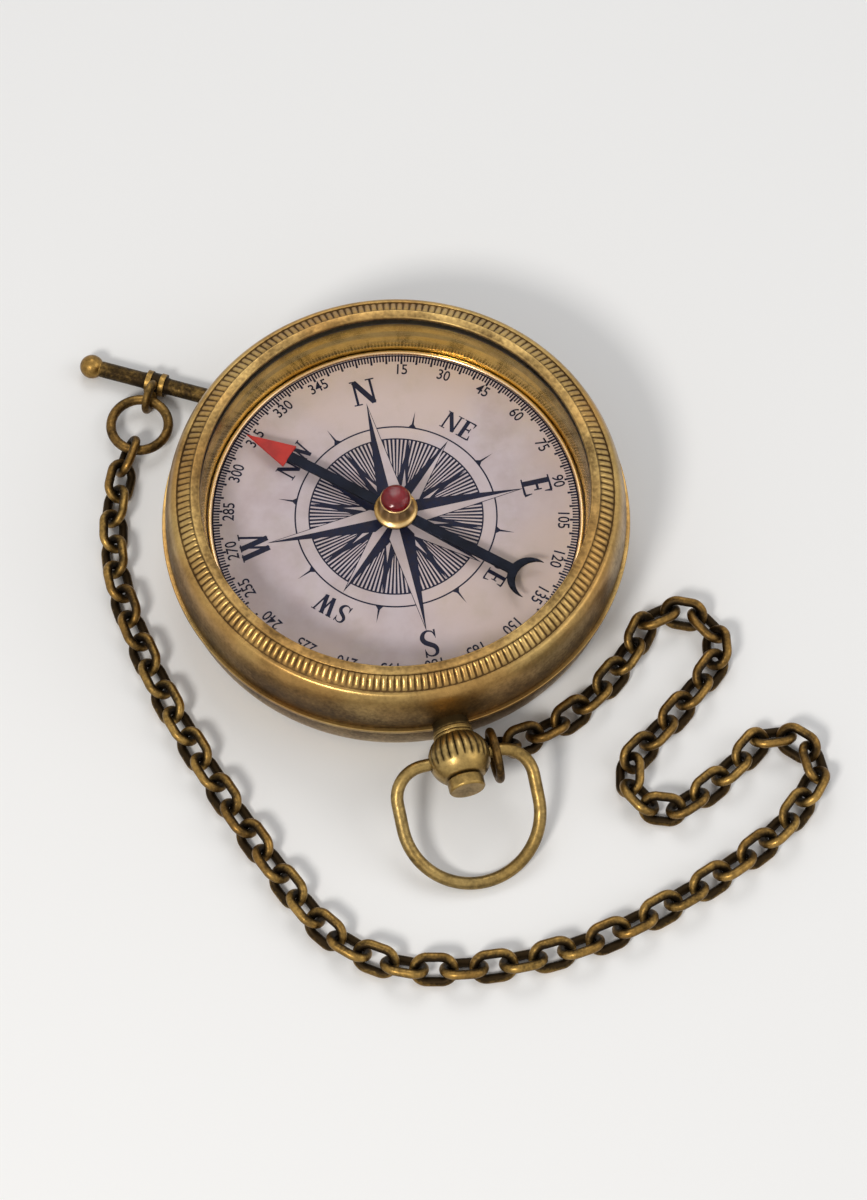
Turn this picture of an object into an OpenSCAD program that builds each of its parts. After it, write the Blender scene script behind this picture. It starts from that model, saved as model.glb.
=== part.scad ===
// Pocket compass in a two-shell brass case, lying on its back, with its bow and chain.
// Millimetres. The origin is the middle of the back face, +Z looks out of the dial,
// +Y is the north of the dial, and the pendant points to -Y.

/* [Case] */
// Outside diameter of the two shells
case_d = 50; // [46:0.5:60]
// Thickness of the closed case
case_h = 14.5; // [13.5:0.1:18]
// Wall of the two shells round the middle ring's collars
skirt_wall = 1.75; // [1.4:0.05:2.2]
// How far the seam lip of the middle ring stands out of the shells
seam_out = 0.3; // [0.1:0.05:0.6]
// Thickness of the seam lip
seam_t = 0.5; // [0.3:0.05:0.8]
// Wall of the middle ring's collars
collar_wall = 1.5; // [1.2:0.1:1.8]
// Height of each collar above and below the seam lip
collar_h = 3; // [2:0.1:3.6]
// Width of the ledge under the dial plate
ledge_w = 1.5; // [1:0.1:2.5]
// Thickness of the ledge under the dial plate
ledge_t = 0.8; // [0.5:0.1:1.2]

/* [Front bezel] */
// Width of the smooth band between the edge of the case and the knurled band
smooth_band_w = 1.5; // [1:0.1:2]
// Width of the knurled band
knurl_w = 1.7; // [1.2:0.1:2]
// Width of the flat lip
lip_w = 1; // [0.6:0.1:1.4]
// Drop of the knurled band across its width
knurl_drop = 1.1; // [0.6:0.1:1.6]
// Thickness of the lip over the crystal
lip_t = 0.5; // [0.4:0.05:0.8]

/* [Back] */
// Width of the knurled band on the back
back_knurl_w = 2.15; // [1.6:0.05:2.6]
// Width of the flat ring round the back plate
back_ring_w = 1.32; // [0.8:0.02:2.4]
// Thickness of the back plate
plate_t = 0.8; // [0.5:0.05:1.2]
// Width of the seat that carries the back plate
plate_seat_w = 1.6; // [1:0.1:2.5]
// Thickness of the seat that carries the back plate
plate_seat_t = 0.8; // [0.5:0.05:1.2]
// Distance from the edge of the back plate to the middle of the engraved ring
engraving_inset = 1.8; // [1:0.1:4]
// Width of the engraved ring of segments
engraving_w = 1.4; // [1:0.1:2]
// Width of the engraved lines
engraved_line_w = 0.16; // [0.1:0.02:0.3]
// Depth of the engraving
engraving_depth = 0.12; // [0.05:0.01:0.25]
// Number of filled segments, with as many open ones between them
segment_count = 12; // [6:1:24]

/* [Crystal and dial] */
// Thickness of the crystal
crystal_t = 0.9; // [0.6:0.05:1.2]
// Thickness of the gasket under the crystal
gasket_t = 0.25; // [0.2:0.05:0.4]
// Wall of the inner wall ring
wall_ring_wall = 1.25; // [0.9:0.05:1.6]
// Thickness of the dial plate
dial_plate_t = 0.6; // [0.4:0.05:1]
// Thickness of the printed dial card
card_t = 0.2; // [0.15:0.05:0.4]
// Wire diameter of the bright ring at the foot of the inner wall
foot_ring_wire = 0.5; // [0.3:0.05:0.8]

/* [Pivot] */
// Diameter of the steel pivot pin
pivot_d = 0.9; // [0.6:0.05:1.2]
// Height of the conical tip of the pivot pin
pivot_tip_h = 0.7; // [0.4:0.05:1]
// Diameter of the brass pivot post
post_d = 2.4; // [2:0.1:3]
// Diameter of the flange of the post under the dial plate
post_flange_d = 4; // [3.2:0.1:5]
// Height of the post above the dial card
post_above_card = 0.5; // [0.3:0.05:0.6]

/* [Needle] */
// Bearing of the red point when the compass lies still
needle_bearing = 313; // [0:1:359]
// Gap from the dial card to the underside of the needle
needle_gap = 1.15; // [0.9:0.05:1.4]
// Thickness of the needle
needle_t = 0.25; // [0.2:0.05:0.4]
// Width of the needle's blade
blade_w = 1.2; // [0.8:0.1:1.8]
// Gap from the red point to the ring round the dial
point_gap = 1.15; // [0.8:0.05:3]
// Length of the red arrowhead
arrow_l = 5.4; // [3:0.1:7]
// Width of the red arrowhead
arrow_w = 2.8; // [2:0.1:4]
// Diameter of the crescent on the tail
crescent_d = 4.8; // [3.6:0.1:5.6]
// Width of the crescent at its middle
crescent_w = 1; // [0.7:0.1:1.4]
// Gap from the crescent to the ring round the dial
crescent_gap = 1.05; // [0.8:0.05:3]

/* [Needle hub] */
// Diameter of the hub's flange
hub_flange_d = 4.7; // [4:0.1:5.4]
// Thickness of the hub's flange
hub_flange_t = 0.4; // [0.3:0.05:0.6]
// Diameter of the hub's step
hub_step_d = 3.8; // [3.4:0.1:4]
// Height of the hub's step
hub_step_h = 0.35; // [0.25:0.05:0.5]
// Diameter of the hub's top, under the bead
hub_top_d = 3.2; // [3.2:0.05:3.5]
// Height of the hub's tapered neck
hub_neck_h = 1.8; // [1.6:0.05:1.9]
// Diameter of the hub's sleeve through the needle
hub_sleeve_d = 2.6; // [2.4:0.1:2.8]
// Length of the sleeve below the needle
hub_sleeve_below = 0.2; // [0.1:0.05:0.3]
// Diameter of the jewel cup in the hub
jewel_d = 2; // [1.8:0.1:2.1]
// Thickness of the jewel cup
jewel_t = 0.7; // [0.6:0.05:0.8]
// Depth of the hollow in the jewel cup
jewel_hollow = 0.45; // [0.3:0.05:0.5]
// Diameter of the ball that the red bead is the cap of
bead_d = 3.4; // [3.3:0.05:3.4]
// Height of the part of that ball which is missing, where the bead stands on the hub
bead_sink = 2.4; // [2.3:0.05:2.4]
// Gap from the bead to the crystal
bead_gap = 0.35; // [0.2:0.05:1]

/* [Pendant] */
// Diameter of the pendant neck
neck_d = 4.3; // [3.6:0.1:5]
// Length of the neck outside the case
neck_l = 1.7; // [1.2:0.1:2.4]
// Largest diameter of the fluted ball
ball_d = 6.6; // [6:0.1:8]
// Diameter of the ball at its ends
ball_end_d = 4.4; // [3.8:0.1:5]
// Length of the fluted ball
ball_l = 4.5; // [4:0.1:6]
// Number of flutes round the ball
flute_count = 18; // [12:1:22]
// Diameter of a flute
flute_d = 0.6; // [0.4:0.05:0.8]
// Length of the groove between the ball and the cap
groove_l = 0.2; // [0.1:0.05:0.4]
// Diameter of the groove between the ball and the cap
groove_d = 3.3; // [2.8:0.1:3.7]
// Diameter of the cap
cap_d = 3.85; // [3.4:0.05:4.4]
// Length of the cap
cap_l = 1.3; // [1:0.1:2]
// Diameter of the stem through the case wall and the ball
stem_d = 2.4; // [2:0.1:2.6]

/* [Bow] */
// Wire diameter of the bow
bow_wire = 1.35; // [1:0.05:1.6]
// Outside width of the bow
bow_w = 16; // [15:0.1:19]
// Straight length of each bow end outside the ball
bow_stub_l = 0.725; // [0.7:0.025:1]
// Straight length of the bow's sides
bow_side_l = 2.7; // [2:0.1:5]
// Depth of each bow end in the ball
bow_end_depth = 1.2; // [0.8:0.05:1.3]

/* [Chain] */
// Wire diameter of a chain link
link_wire = 1; // [0.8:0.05:1.1]
// Outside length of a chain link
link_l = 5.2; // [4.8:0.1:6]
// Outside width of a chain link
link_w = 3.8; // [3.6:0.1:4.2]
// Wire diameter of the ring that joins the chain to the bow
start_ring_wire = 0.9; // [0.8:0.05:1]
// Inside diameter of the ring that joins the chain to the bow
start_ring_in_d = 4.2; // [4:0.1:4.6]
// Wire diameter of the end ring
end_ring_wire = 1.1; // [0.9:0.05:1.2]
// Outside diameter of the end ring
end_ring_d = 7.5; // [7:0.1:9]

/* [T-bar] */
// Length of the bar
bar_l = 18; // [14:0.5:24]
// Diameter of the bar
bar_d = 1.8; // [1.4:0.1:2.2]
// Diameter of the bar's ball ends
bar_ball_d = 2.7; // [2.4:0.1:3.2]
// Diameter of the bar's collar
bar_collar_d = 2.6; // [2.2:0.1:3]
// Length of the bar's collar
bar_collar_l = 2.2; // [1.6:0.1:3]
// Wire diameter of the bar's eye
eye_wire = 0.9; // [0.7:0.05:1]
// Inside diameter of the bar's eye
eye_in_d = 2.1; // [2:0.1:2.4]

/* [Fits] */
// Radial clearance of parts that slide or turn in each other
run_clear = 0.03; // [0.02:0.005:0.06]
// Radial clearance of parts that are pushed together and stay
seat_clear = 0.05; // [0.02:0.01:0.1]
// Clearance between the bow or the chain and the surface under it
floor_clear = 0.02; // [0.01:0.01:0.1]
// Gap between linked wires where they hang in each other
link_slack = 0.09; // [0.05:0.01:0.12]

/* [Hidden] */
$fn = 96;
// How far a cutting shape runs past the faces that it cuts
over = 1;

// Heights in the case, from the back face up
mid_z = case_h / 2;
seam_low = mid_z - seam_t / 2;
seam_high = mid_z + seam_t / 2;
shell_gap = 0.05;
rear_top = seam_low - shell_gap;
front_low = seam_high + shell_gap;
crystal_top = case_h - lip_t;
crystal_z = crystal_top - crystal_t;
gasket_z = crystal_z - gasket_t;
hub_h = hub_flange_t + hub_step_h + hub_neck_h;
bead_h = bead_d - bead_sink;
dial_z = crystal_z - bead_gap - bead_h - hub_h - needle_t - needle_gap;
card_z = dial_z - card_t;
dial_plate_z = card_z - dial_plate_t;

// Radii in the case, from the outside in
case_r = case_d / 2;
shell_edge_r = case_r - seam_t / 4;
skirt_in_r = case_r - skirt_wall;
collar_out_r = skirt_in_r - seat_clear;
collar_in_r = collar_out_r - collar_wall;
fitted_r = collar_in_r - seat_clear;
wall_ring_in_r = fitted_r - wall_ring_wall;
foot_ring_in_r = wall_ring_in_r - seat_clear - foot_ring_wire;
knurl_out_r = case_r - smooth_band_w;
lip_out_r = knurl_out_r - knurl_w;
lip_in_r = lip_out_r - lip_w;
lip_cover = 0.1;
gasket_in_r = lip_in_r + lip_cover;
edge_break = 0.12;
knurl_rim = 0.1;
front_knurl_z = case_h - knurl_drop;

// Radii on the back, from the outside in
back_knurl_r = knurl_out_r - 0.15 * knurl_drop;
back_ring_r = knurl_out_r - back_knurl_w;
plate_hole_r = back_ring_r - back_ring_w;
plate_r = plate_hole_r - run_clear;
engraving_r = plate_r - engraving_inset;

// Needle, from the dial up
needle_z = dial_z + needle_gap;
flange_z = needle_z + needle_t;
step_z = flange_z + hub_flange_t;
hub_neck_z = step_z + hub_step_h;
hub_top_z = hub_neck_z + hub_neck_h;
sleeve_z = needle_z - hub_sleeve_below;
hub_roof = 0.25;
jewel_z = hub_top_z - hub_roof - jewel_t;
pivot_gap = 0.03;
pivot_tip_z = jewel_z + jewel_hollow - pivot_gap;
jewel_mouth_share = 0.8;
pivot_low_z = dial_plate_z - ledge_t;
post_top_z = dial_z + post_above_card;
needle_boss_d = hub_flange_d - 2 * seat_clear;
point_reach = foot_ring_in_r - point_gap;
crescent_reach = foot_ring_in_r - crescent_gap - crescent_d / 2;
tail_start = crescent_reach - crescent_d / 2 + crescent_w / 2;

// Pendant, outwards from the case axis
neck_start = collar_out_r + seat_clear;
ball_start = case_r + neck_l;
ball_mid = ball_start + ball_l / 2;
ball_end = ball_start + ball_l;
cap_start = ball_end + groove_l;
cap_end = cap_start + cap_l;
ball_arc_r = (pow(ball_l / 2, 2) / (ball_d - ball_end_d)) + (ball_d - ball_end_d) / 4;
stem_in = collar_in_r + seat_clear;
stem_spigot = ball_l / 2 - seat_clear;
flute_clear_deg = 22;

// Bow, in its own plane from the pivot outwards
bow_side = bow_w / 2 - bow_wire / 2;
bow_stub_x = ball_d / 2 + bow_stub_l;
bow_corner_r = bow_side - bow_stub_x;
bow_tip = bow_corner_r + bow_side_l + bow_side;
bow_hole_depth = bow_end_depth + seat_clear;
bow_droop = asin((mid_z - bow_wire / 2 - floor_clear) / bow_tip);

// Chain: the ring hangs on the bow's right end, close to the ball
start_ring_r = start_ring_in_d / 2 + start_ring_wire / 2;
start_ring_x = ball_d / 2 + start_ring_wire / 2 + link_slack;
start_ring_drop = start_ring_in_d / 2 - bow_wire / 2 - run_clear;
link_side = (link_w - link_wire) / 2;
link_half = (link_l - link_wire) / 2;
// Each link leans this far to one side or the other
lean_deg = 45;
// Place of the first link on the ring, away from the ring's lowest point
hook_deg = 45;
first_heading_deg = 8;
first_slope_deg = -28;
last_lean_deg = 62;
link_rest_z = link_side * sin(lean_deg) + link_wire / 2 + floor_clear;
link_last_z = link_side * sin(last_lean_deg) + link_wire / 2 + floor_clear;
// Share of the first link's height over the others that each link keeps
landing_shares = [1, 0.45, 0.13, 0.02];
// Share of the last link's rise that the link before it takes
rising_share = 0.16;
// Runs of links: how many in each, and how far each of them turns from the one before, in degrees
run_counts = [1, 6, 5, 4, 4, 3, 4, 3, 5, 7, 5, 8, 5, 6];
run_turns_deg = [4, 6.5, -38, -2, 42, 5, -42, -8, -2, -4, -10.4, -1, -2, -6];
// Links in each of the chain's parts
part_link_count = 12;

hook = [
    start_ring_x,
    start_ring_r * sin(hook_deg) - ball_mid,
    mid_z - start_ring_drop - start_ring_r * cos(hook_deg)
];
first_pull = link_half - (link_wire + start_ring_wire) / 2 - link_slack;
first_link = [
    hook.x + first_pull * cos(first_slope_deg) * cos(first_heading_deg),
    hook.y + first_pull * cos(first_slope_deg) * sin(first_heading_deg),
    hook.z + first_pull * sin(first_slope_deg)
];
chain_turns = [for (run = [0 : len(run_counts) - 1]) for (i = [1 : run_counts[run]]) run_turns_deg[run]];
link_count = len(chain_turns) + 1;

// Distance between the middles of two links when one turns from the other
function link_pitch(turn) =
    (link_half * (1 + cos(turn)) - link_wire - link_slack) / cos(turn / 2);

// Height of a link's middle
function link_z(i) =
    i == link_count - 1 ? link_last_z :
    i == link_count - 2 ? link_rest_z + (link_last_z - link_rest_z) * rising_share :
    i >= len(landing_shares) ? link_rest_z :
    link_rest_z + (first_link.z - link_rest_z) * landing_shares[max(i, 0)];

// How far a link points up or down
function link_slope(i) =
    i == 0 ? first_slope_deg :
    i == link_count - 1 ? 0 :
    asin((link_z(i + 1) - link_z(i - 1)) / (2 * link_pitch(0)));

// How far a link leans over
function link_lean(i) =
    i == link_count - 1 ? (i % 2 == 0 ? -last_lean_deg : last_lean_deg) :
    i % 2 == 0 ? -lean_deg : lean_deg;

// The ground step from one link to the next
function link_step(i) =
    sqrt(pow(link_pitch(chain_turns[i]), 2) - pow(link_z(i + 1) - link_z(i), 2));

// [x, y, heading] of each link, one after the other
function chain_walk(i, at) =
    i == link_count - 1 ? [at] :
    let (mid_heading = at[2] + chain_turns[i] / 2)
    concat([at], chain_walk(i + 1, [
        at[0] + link_step(i) * cos(mid_heading),
        at[1] + link_step(i) * sin(mid_heading),
        at[2] + chain_turns[i]
    ]));

chain_way = chain_walk(0, [first_link.x, first_link.y, first_heading_deg]);
chain_end = chain_way[link_count - 1];
end_ring_r = (end_ring_d - end_ring_wire) / 2;
end_ring_out = link_half - (link_wire + end_ring_wire) / 2 - link_slack + end_ring_r;
eye_r = (eye_in_d + eye_wire) / 2;
eye_z = eye_r + eye_wire / 2;
eye_out = end_ring_out + end_ring_r - (end_ring_wire + eye_wire) / 2 - link_slack + eye_r;
bar_z = bar_ball_d / 2;
bar_out = eye_out + eye_r + bar_collar_d / 4;

// Revolved ring between two radii and two heights
module ring(in_r, out_r, z0, z1) {
    translate([0, 0, z0])
        difference() {
            cylinder(r = out_r, h = z1 - z0);
            translate([0, 0, -over]) cylinder(r = in_r, h = z1 - z0 + 2 * over);
        }
}

// Wire bent to a full circle round Z
module wire_ring(mid_r, wire) {
    rotate_extrude() translate([mid_r, 0]) circle(d = wire, $fn = 32);
}

// Cylinder along -Y, from one distance from the case axis to another, at the pendant's height
module pendant_rod(d, from, to) {
    translate([0, -from, mid_z]) rotate([90, 0, 0]) cylinder(d = d, h = to - from);
}

// Outline of a shell's outer side as [radius, height above its edge], a smooth bulge up to the knurl
function bulge(edge_r, top_r, height, steps = 10) = [
    for (i = [0 : steps]) let (a = 90 * i / steps)
        [top_r + (edge_r - top_r) * cos(a), height * sin(a)]
];

module mid_case() {
    color("peru")
        difference() {
            union() {
                ring(collar_in_r, collar_out_r, seam_low - collar_h, seam_high + collar_h);
                ring(collar_in_r, case_r + seam_out, seam_low, seam_high);
                ring(collar_in_r - ledge_w, collar_out_r, dial_plate_z - ledge_t, dial_plate_z);
            }
            pendant_rod(neck_d + 2 * seat_clear, collar_out_r - seat_clear, case_r + over);
            pendant_rod(stem_d + 2 * seat_clear, collar_in_r - over, neck_start);
        }
}

module front_bezel() {
    bulge_h = front_knurl_z - front_low;
    color("goldenrod")
        difference() {
            rotate_extrude()
                polygon(concat(
                    [[skirt_in_r, front_low]],
                    [for (p = bulge(shell_edge_r, knurl_out_r, bulge_h)) [p[0], front_low + p[1]]],
                    [
                        [lip_out_r, case_h - knurl_rim],
                        [lip_out_r - knurl_rim, case_h],
                        [lip_in_r + edge_break, case_h],
                        [lip_in_r, case_h - edge_break],
                        [lip_in_r, crystal_top],
                        [collar_in_r, crystal_top],
                        [collar_in_r, seam_high + collar_h + seat_clear],
                        [skirt_in_r, seam_high + collar_h + seat_clear]
                    ]
                ));
            pendant_rod(neck_d + 2 * seat_clear, collar_out_r - seat_clear, case_r + over);
        }
}

module rear_shell() {
    bulge_h = rear_top - knurl_drop;
    color("goldenrod")
        difference() {
            rotate_extrude()
                polygon(concat(
                    [[skirt_in_r, rear_top]],
                    [for (p = bulge(shell_edge_r, back_knurl_r, bulge_h)) [p[0], rear_top - p[1]]],
                    [
                        [back_ring_r, knurl_rim],
                        [back_ring_r - knurl_rim, 0],
                        [plate_hole_r + edge_break, 0],
                        [plate_hole_r, edge_break],
                        [plate_hole_r, plate_t],
                        [plate_r - plate_seat_w, plate_t],
                        [plate_r - plate_seat_w, plate_t + plate_seat_t],
                        [collar_in_r, plate_t + plate_seat_t],
                        [collar_in_r, seam_low - collar_h - seat_clear],
                        [skirt_in_r, seam_low - collar_h - seat_clear]
                    ]
                ));
            pendant_rod(neck_d + 2 * seat_clear, collar_out_r - seat_clear, case_r + over);
        }
}

// Two engraved circles, with every second segment between them engraved too
module back_plate() {
    in_r = engraving_r - engraving_w / 2;
    out_r = engraving_r + engraving_w / 2;
    step = 360 / segment_count;
    color("khaki")
        difference() {
            rotate_extrude()
                polygon([
                    [0, 0], [plate_r - edge_break, 0], [plate_r, edge_break],
                    [plate_r, plate_t], [0, plate_t]
                ]);
            ring(in_r, in_r + engraved_line_w, -engraving_depth, engraving_depth);
            ring(out_r - engraved_line_w, out_r, -engraving_depth, engraving_depth);
            for (i = [0 : segment_count - 1])
                rotate([0, 0, i * step - 90 - step / 4])
                    rotate_extrude(angle = step / 2)
                        translate([in_r + engraved_line_w / 2, -engraving_depth])
                            square([engraving_w - engraved_line_w, 2 * engraving_depth]);
        }
}

module crystal() {
    color("lightcyan", 0.4)
        translate([0, 0, crystal_z]) cylinder(r = fitted_r, h = crystal_t);
}

module crystal_gasket() {
    color("dimgray") ring(gasket_in_r, fitted_r, gasket_z, crystal_z);
}

module wall_ring() {
    color("gold")
        rotate_extrude()
            polygon([
                [wall_ring_in_r, dial_z],
                [fitted_r, dial_z],
                [fitted_r, gasket_z],
                [gasket_in_r, gasket_z]
            ]);
}

module foot_ring() {
    color("mistyrose")
        translate([0, 0, dial_z + foot_ring_wire / 2])
            wire_ring(foot_ring_in_r + foot_ring_wire / 2, foot_ring_wire);
}

module dial_card() {
    color("lavenderblush") ring(post_d / 2 + seat_clear, fitted_r, card_z, dial_z);
}

module dial_plate() {
    color("burlywood") ring(post_d / 2 + seat_clear, fitted_r, dial_plate_z, card_z);
}

module pivot_post() {
    color("darkgoldenrod")
        difference() {
            union() {
                translate([0, 0, pivot_low_z]) cylinder(d = post_flange_d, h = dial_plate_z - pivot_low_z);
                translate([0, 0, pivot_low_z]) cylinder(d = post_d, h = post_top_z - pivot_low_z);
            }
            translate([0, 0, pivot_low_z - over])
                cylinder(d = pivot_d, h = post_top_z - pivot_low_z + 2 * over);
        }
}

module pivot_pin() {
    color("silver") {
        translate([0, 0, pivot_low_z]) cylinder(d = pivot_d, h = pivot_tip_z - pivot_tip_h - pivot_low_z);
        translate([0, 0, pivot_tip_z - pivot_tip_h]) cylinder(d1 = pivot_d, d2 = 0, h = pivot_tip_h);
    }
}

// Needle and hub turn together, so both are drawn towards +Y and turned to the bearing
module at_bearing() {
    rotate([0, 0, -needle_bearing]) children();
}

module needle() {
    arrow_base = point_reach - arrow_l;
    color("midnightblue")
        at_bearing()
            translate([0, 0, needle_z])
                linear_extrude(needle_t)
                    difference() {
                        union() {
                            circle(d = needle_boss_d);
                            translate([-blade_w / 2, -tail_start]) square([blade_w, tail_start + arrow_base]);
                            polygon([
                                [-arrow_w / 2, arrow_base], [arrow_w / 2, arrow_base], [0, point_reach]
                            ]);
                            difference() {
                                translate([0, -crescent_reach]) circle(d = crescent_d);
                                translate([0, -crescent_reach - crescent_w]) circle(d = crescent_d);
                            }
                        }
                        circle(d = hub_sleeve_d + 2 * run_clear);
                    }
}

module needle_hub() {
    color("gold")
        rotate_extrude()
            polygon([
                [jewel_d / 2 + run_clear, sleeve_z],
                [hub_sleeve_d / 2, sleeve_z],
                [hub_sleeve_d / 2, flange_z],
                [hub_flange_d / 2, flange_z],
                [hub_flange_d / 2, step_z],
                [hub_step_d / 2, step_z],
                [hub_step_d / 2, hub_neck_z],
                [hub_top_d / 2, hub_top_z],
                [0, hub_top_z],
                [0, hub_top_z - hub_roof],
                [jewel_d / 2 + run_clear, hub_top_z - hub_roof]
            ]);
}

module hub_jewel() {
    color("crimson")
        difference() {
            translate([0, 0, jewel_z]) cylinder(d = jewel_d, h = jewel_t);
            translate([0, 0, jewel_z]) cylinder(d1 = jewel_d * jewel_mouth_share, d2 = 0, h = jewel_hollow);
        }
}

module hub_bead() {
    color("red")
        intersection() {
            translate([0, 0, hub_top_z - bead_sink + bead_d / 2]) sphere(d = bead_d);
            translate([0, 0, hub_top_z]) cylinder(r = bead_d, h = 2 * bead_d);
        }
}

module pendant_neck() {
    color("darkgoldenrod") {
        pendant_rod(neck_d, neck_start, ball_start);
        pendant_rod(stem_d, stem_in, ball_start + stem_spigot);
    }
}

module pendant_ball() {
    arc_mid = ball_d / 2 - ball_arc_r;
    color("darkgoldenrod")
        difference() {
            translate([0, -ball_mid, mid_z])
                rotate([90, 0, 0])
                    rotate_extrude()
                        intersection() {
                            translate([arc_mid, 0]) circle(r = ball_arc_r);
                            translate([0, -ball_l / 2]) square([ball_d, ball_l]);
                        }
            pendant_rod(stem_d + 2 * seat_clear, ball_start - over, ball_end + over);
            for (side = [-1, 1])
                translate([side * (ball_d / 2 - bow_hole_depth), -ball_mid, mid_z])
                    rotate([0, side * 90, 0])
                        cylinder(d = bow_wire + 2 * run_clear, h = bow_hole_depth + over);
            for (i = [0 : flute_count - 1])
                let (a = (i + 0.5) * 360 / flute_count)
                    if (min(abs(a), abs(a - 180), abs(a - 360)) > flute_clear_deg)
                        translate([ball_d / 2 * cos(a), -ball_start, mid_z + ball_d / 2 * sin(a)])
                            rotate([90, 0, 0])
                                cylinder(d = flute_d, h = ball_l, $fn = 24);
        }
}

module pendant_cap() {
    color("darkgoldenrod") {
        pendant_rod(groove_d, ball_end, cap_start);
        pendant_rod(cap_d, cap_start, cap_end);
        pendant_rod(stem_d, ball_start + stem_spigot + seat_clear, ball_end);
    }
}

// One half of the bow, from its end in the ball to the middle of its far arc, lying in the XY plane
module bow_half() {
    end_x = ball_d / 2 - bow_end_depth;
    translate([end_x, 0, 0]) rotate([0, 90, 0]) cylinder(d = bow_wire, h = bow_stub_x - end_x, $fn = 48);
    translate([bow_stub_x, bow_corner_r, 0])
        rotate([0, 0, -90])
            rotate_extrude(angle = 90) translate([bow_corner_r, 0]) circle(d = bow_wire, $fn = 48);
    translate([bow_side, bow_corner_r, 0])
        rotate([-90, 0, 0]) cylinder(d = bow_wire, h = bow_tip - bow_side - bow_corner_r, $fn = 48);
    translate([0, bow_tip - bow_side, 0])
        rotate_extrude(angle = 90) translate([bow_side, 0]) circle(d = bow_wire, $fn = 48);
}

module bow() {
    color("darkgoldenrod")
        translate([0, -ball_mid, mid_z])
            rotate([-bow_droop, 0, 180]) {
                bow_half();
                mirror([1, 0, 0]) bow_half();
            }
}

module chain_ring() {
    color("darkgoldenrod")
        translate([start_ring_x, -ball_mid, mid_z - start_ring_drop])
            rotate([0, 90, 0]) wire_ring(start_ring_r, start_ring_wire);
}

// One oval link lying flat, long way along X
module chain_link() {
    straight = link_half - link_side;
    for (side = [0, 180])
        rotate([0, 0, side]) {
            translate([straight, 0, 0])
                rotate([0, 0, -90])
                    rotate_extrude(angle = 180) translate([link_side, 0]) circle(d = link_wire, $fn = 32);
            translate([-straight, link_side, 0])
                rotate([0, 90, 0]) cylinder(d = link_wire, h = 2 * straight, $fn = 32);
        }
}

module chain_part(part) {
    first = (part - 1) * part_link_count;
    last = min(first + part_link_count, link_count) - 1;
    color("darkgoldenrod")
        for (i = [first : last])
            translate([chain_way[i][0], chain_way[i][1], link_z(i)])
                rotate([0, 0, chain_way[i][2]])
                    rotate([0, -link_slope(i), 0])
                        rotate([link_lean(i), 0, 0])
                            chain_link();
}

// Places a piece on the line of the last link, some way past it
module past_chain(out, z) {
    translate([chain_end[0], chain_end[1], z])
        rotate([0, 0, chain_end[2]])
            translate([out, 0, 0]) children();
}

module end_ring() {
    color("darkgoldenrod") past_chain(end_ring_out, link_last_z) wire_ring(end_ring_r, end_ring_wire);
}

module t_bar() {
    color("darkgoldenrod") {
        past_chain(eye_out, eye_z) rotate([90, 0, 0]) wire_ring(eye_r, eye_wire);
        past_chain(bar_out, bar_z) {
            rotate([90, 0, 0]) cylinder(d = bar_d, h = bar_l - bar_ball_d, center = true, $fn = 48);
            rotate([90, 0, 0]) cylinder(d = bar_collar_d, h = bar_collar_l, center = true, $fn = 48);
            for (side = [-1, 1])
                translate([0, side * (bar_l - bar_ball_d) / 2, 0]) sphere(d = bar_ball_d, $fn = 48);
        }
    }
}

mid_case();
front_bezel();
rear_shell();
back_plate();
crystal();
crystal_gasket();
wall_ring();
foot_ring();
dial_card();
dial_plate();
pivot_post();
pivot_pin();
needle();
needle_hub();
hub_jewel();
hub_bead();
pendant_neck();
pendant_ball();
pendant_cap();
bow();
chain_ring();
chain_part(1);  // chain_part_1
chain_part(2);  // chain_part_2
chain_part(3);  // chain_part_3
chain_part(4);  // chain_part_4
chain_part(5);  // chain_part_5
chain_part(6);  // chain_part_6
end_ring();
t_bar();
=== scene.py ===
"""Looks of the pocket compass: case, dial, needle, pendant, bow and chain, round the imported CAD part."""

import logging
import math
from collections.abc import Iterable, Sequence
from dataclasses import dataclass, field
from enum import Enum
from functools import cache

import bmesh
import bpy
from mathutils import Euler, Matrix, Vector


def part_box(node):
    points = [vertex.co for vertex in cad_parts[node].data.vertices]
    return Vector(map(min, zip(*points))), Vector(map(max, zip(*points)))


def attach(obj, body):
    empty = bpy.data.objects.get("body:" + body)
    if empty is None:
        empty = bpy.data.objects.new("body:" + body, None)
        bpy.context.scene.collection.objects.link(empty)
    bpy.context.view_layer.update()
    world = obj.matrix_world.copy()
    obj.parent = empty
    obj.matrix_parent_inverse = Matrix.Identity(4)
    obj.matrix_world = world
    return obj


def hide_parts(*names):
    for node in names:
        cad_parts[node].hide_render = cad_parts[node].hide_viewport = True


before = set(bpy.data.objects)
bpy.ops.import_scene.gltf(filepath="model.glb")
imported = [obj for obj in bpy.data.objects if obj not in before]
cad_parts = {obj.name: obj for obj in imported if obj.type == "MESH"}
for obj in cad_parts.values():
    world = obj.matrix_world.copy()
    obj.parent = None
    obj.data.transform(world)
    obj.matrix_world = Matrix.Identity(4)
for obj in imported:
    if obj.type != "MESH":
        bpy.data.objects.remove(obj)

LOG = logging.getLogger("compass")

# Sizes of pieces are in millimetres until a mesh is made; MM turns them into metres.
MM = 0.001
# Features in a metre of the finest grain on metal.
FINE_GRAIN = 9000.0
SMOOTH_DEG = 32.0
WIRE_SMOOTH_DEG = 60.0
FULL_TURN = 2 * math.pi

Point = tuple[float, float]
Place = tuple[float, float, float]
# Radius, height and wear of each point; wear is 1 where the brass is rubbed bright, and the low wear near the
# case seam is partly painted shade.
Profile = Sequence[tuple[float, float, float]]
# A line and its width at each point.
Stroke = tuple[Sequence[Point], Sequence[float]]
# Red, green and blue, from 0 to 1.
Colour = tuple[float, float, float]
Socket = bpy.types.NodeSocket


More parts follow.
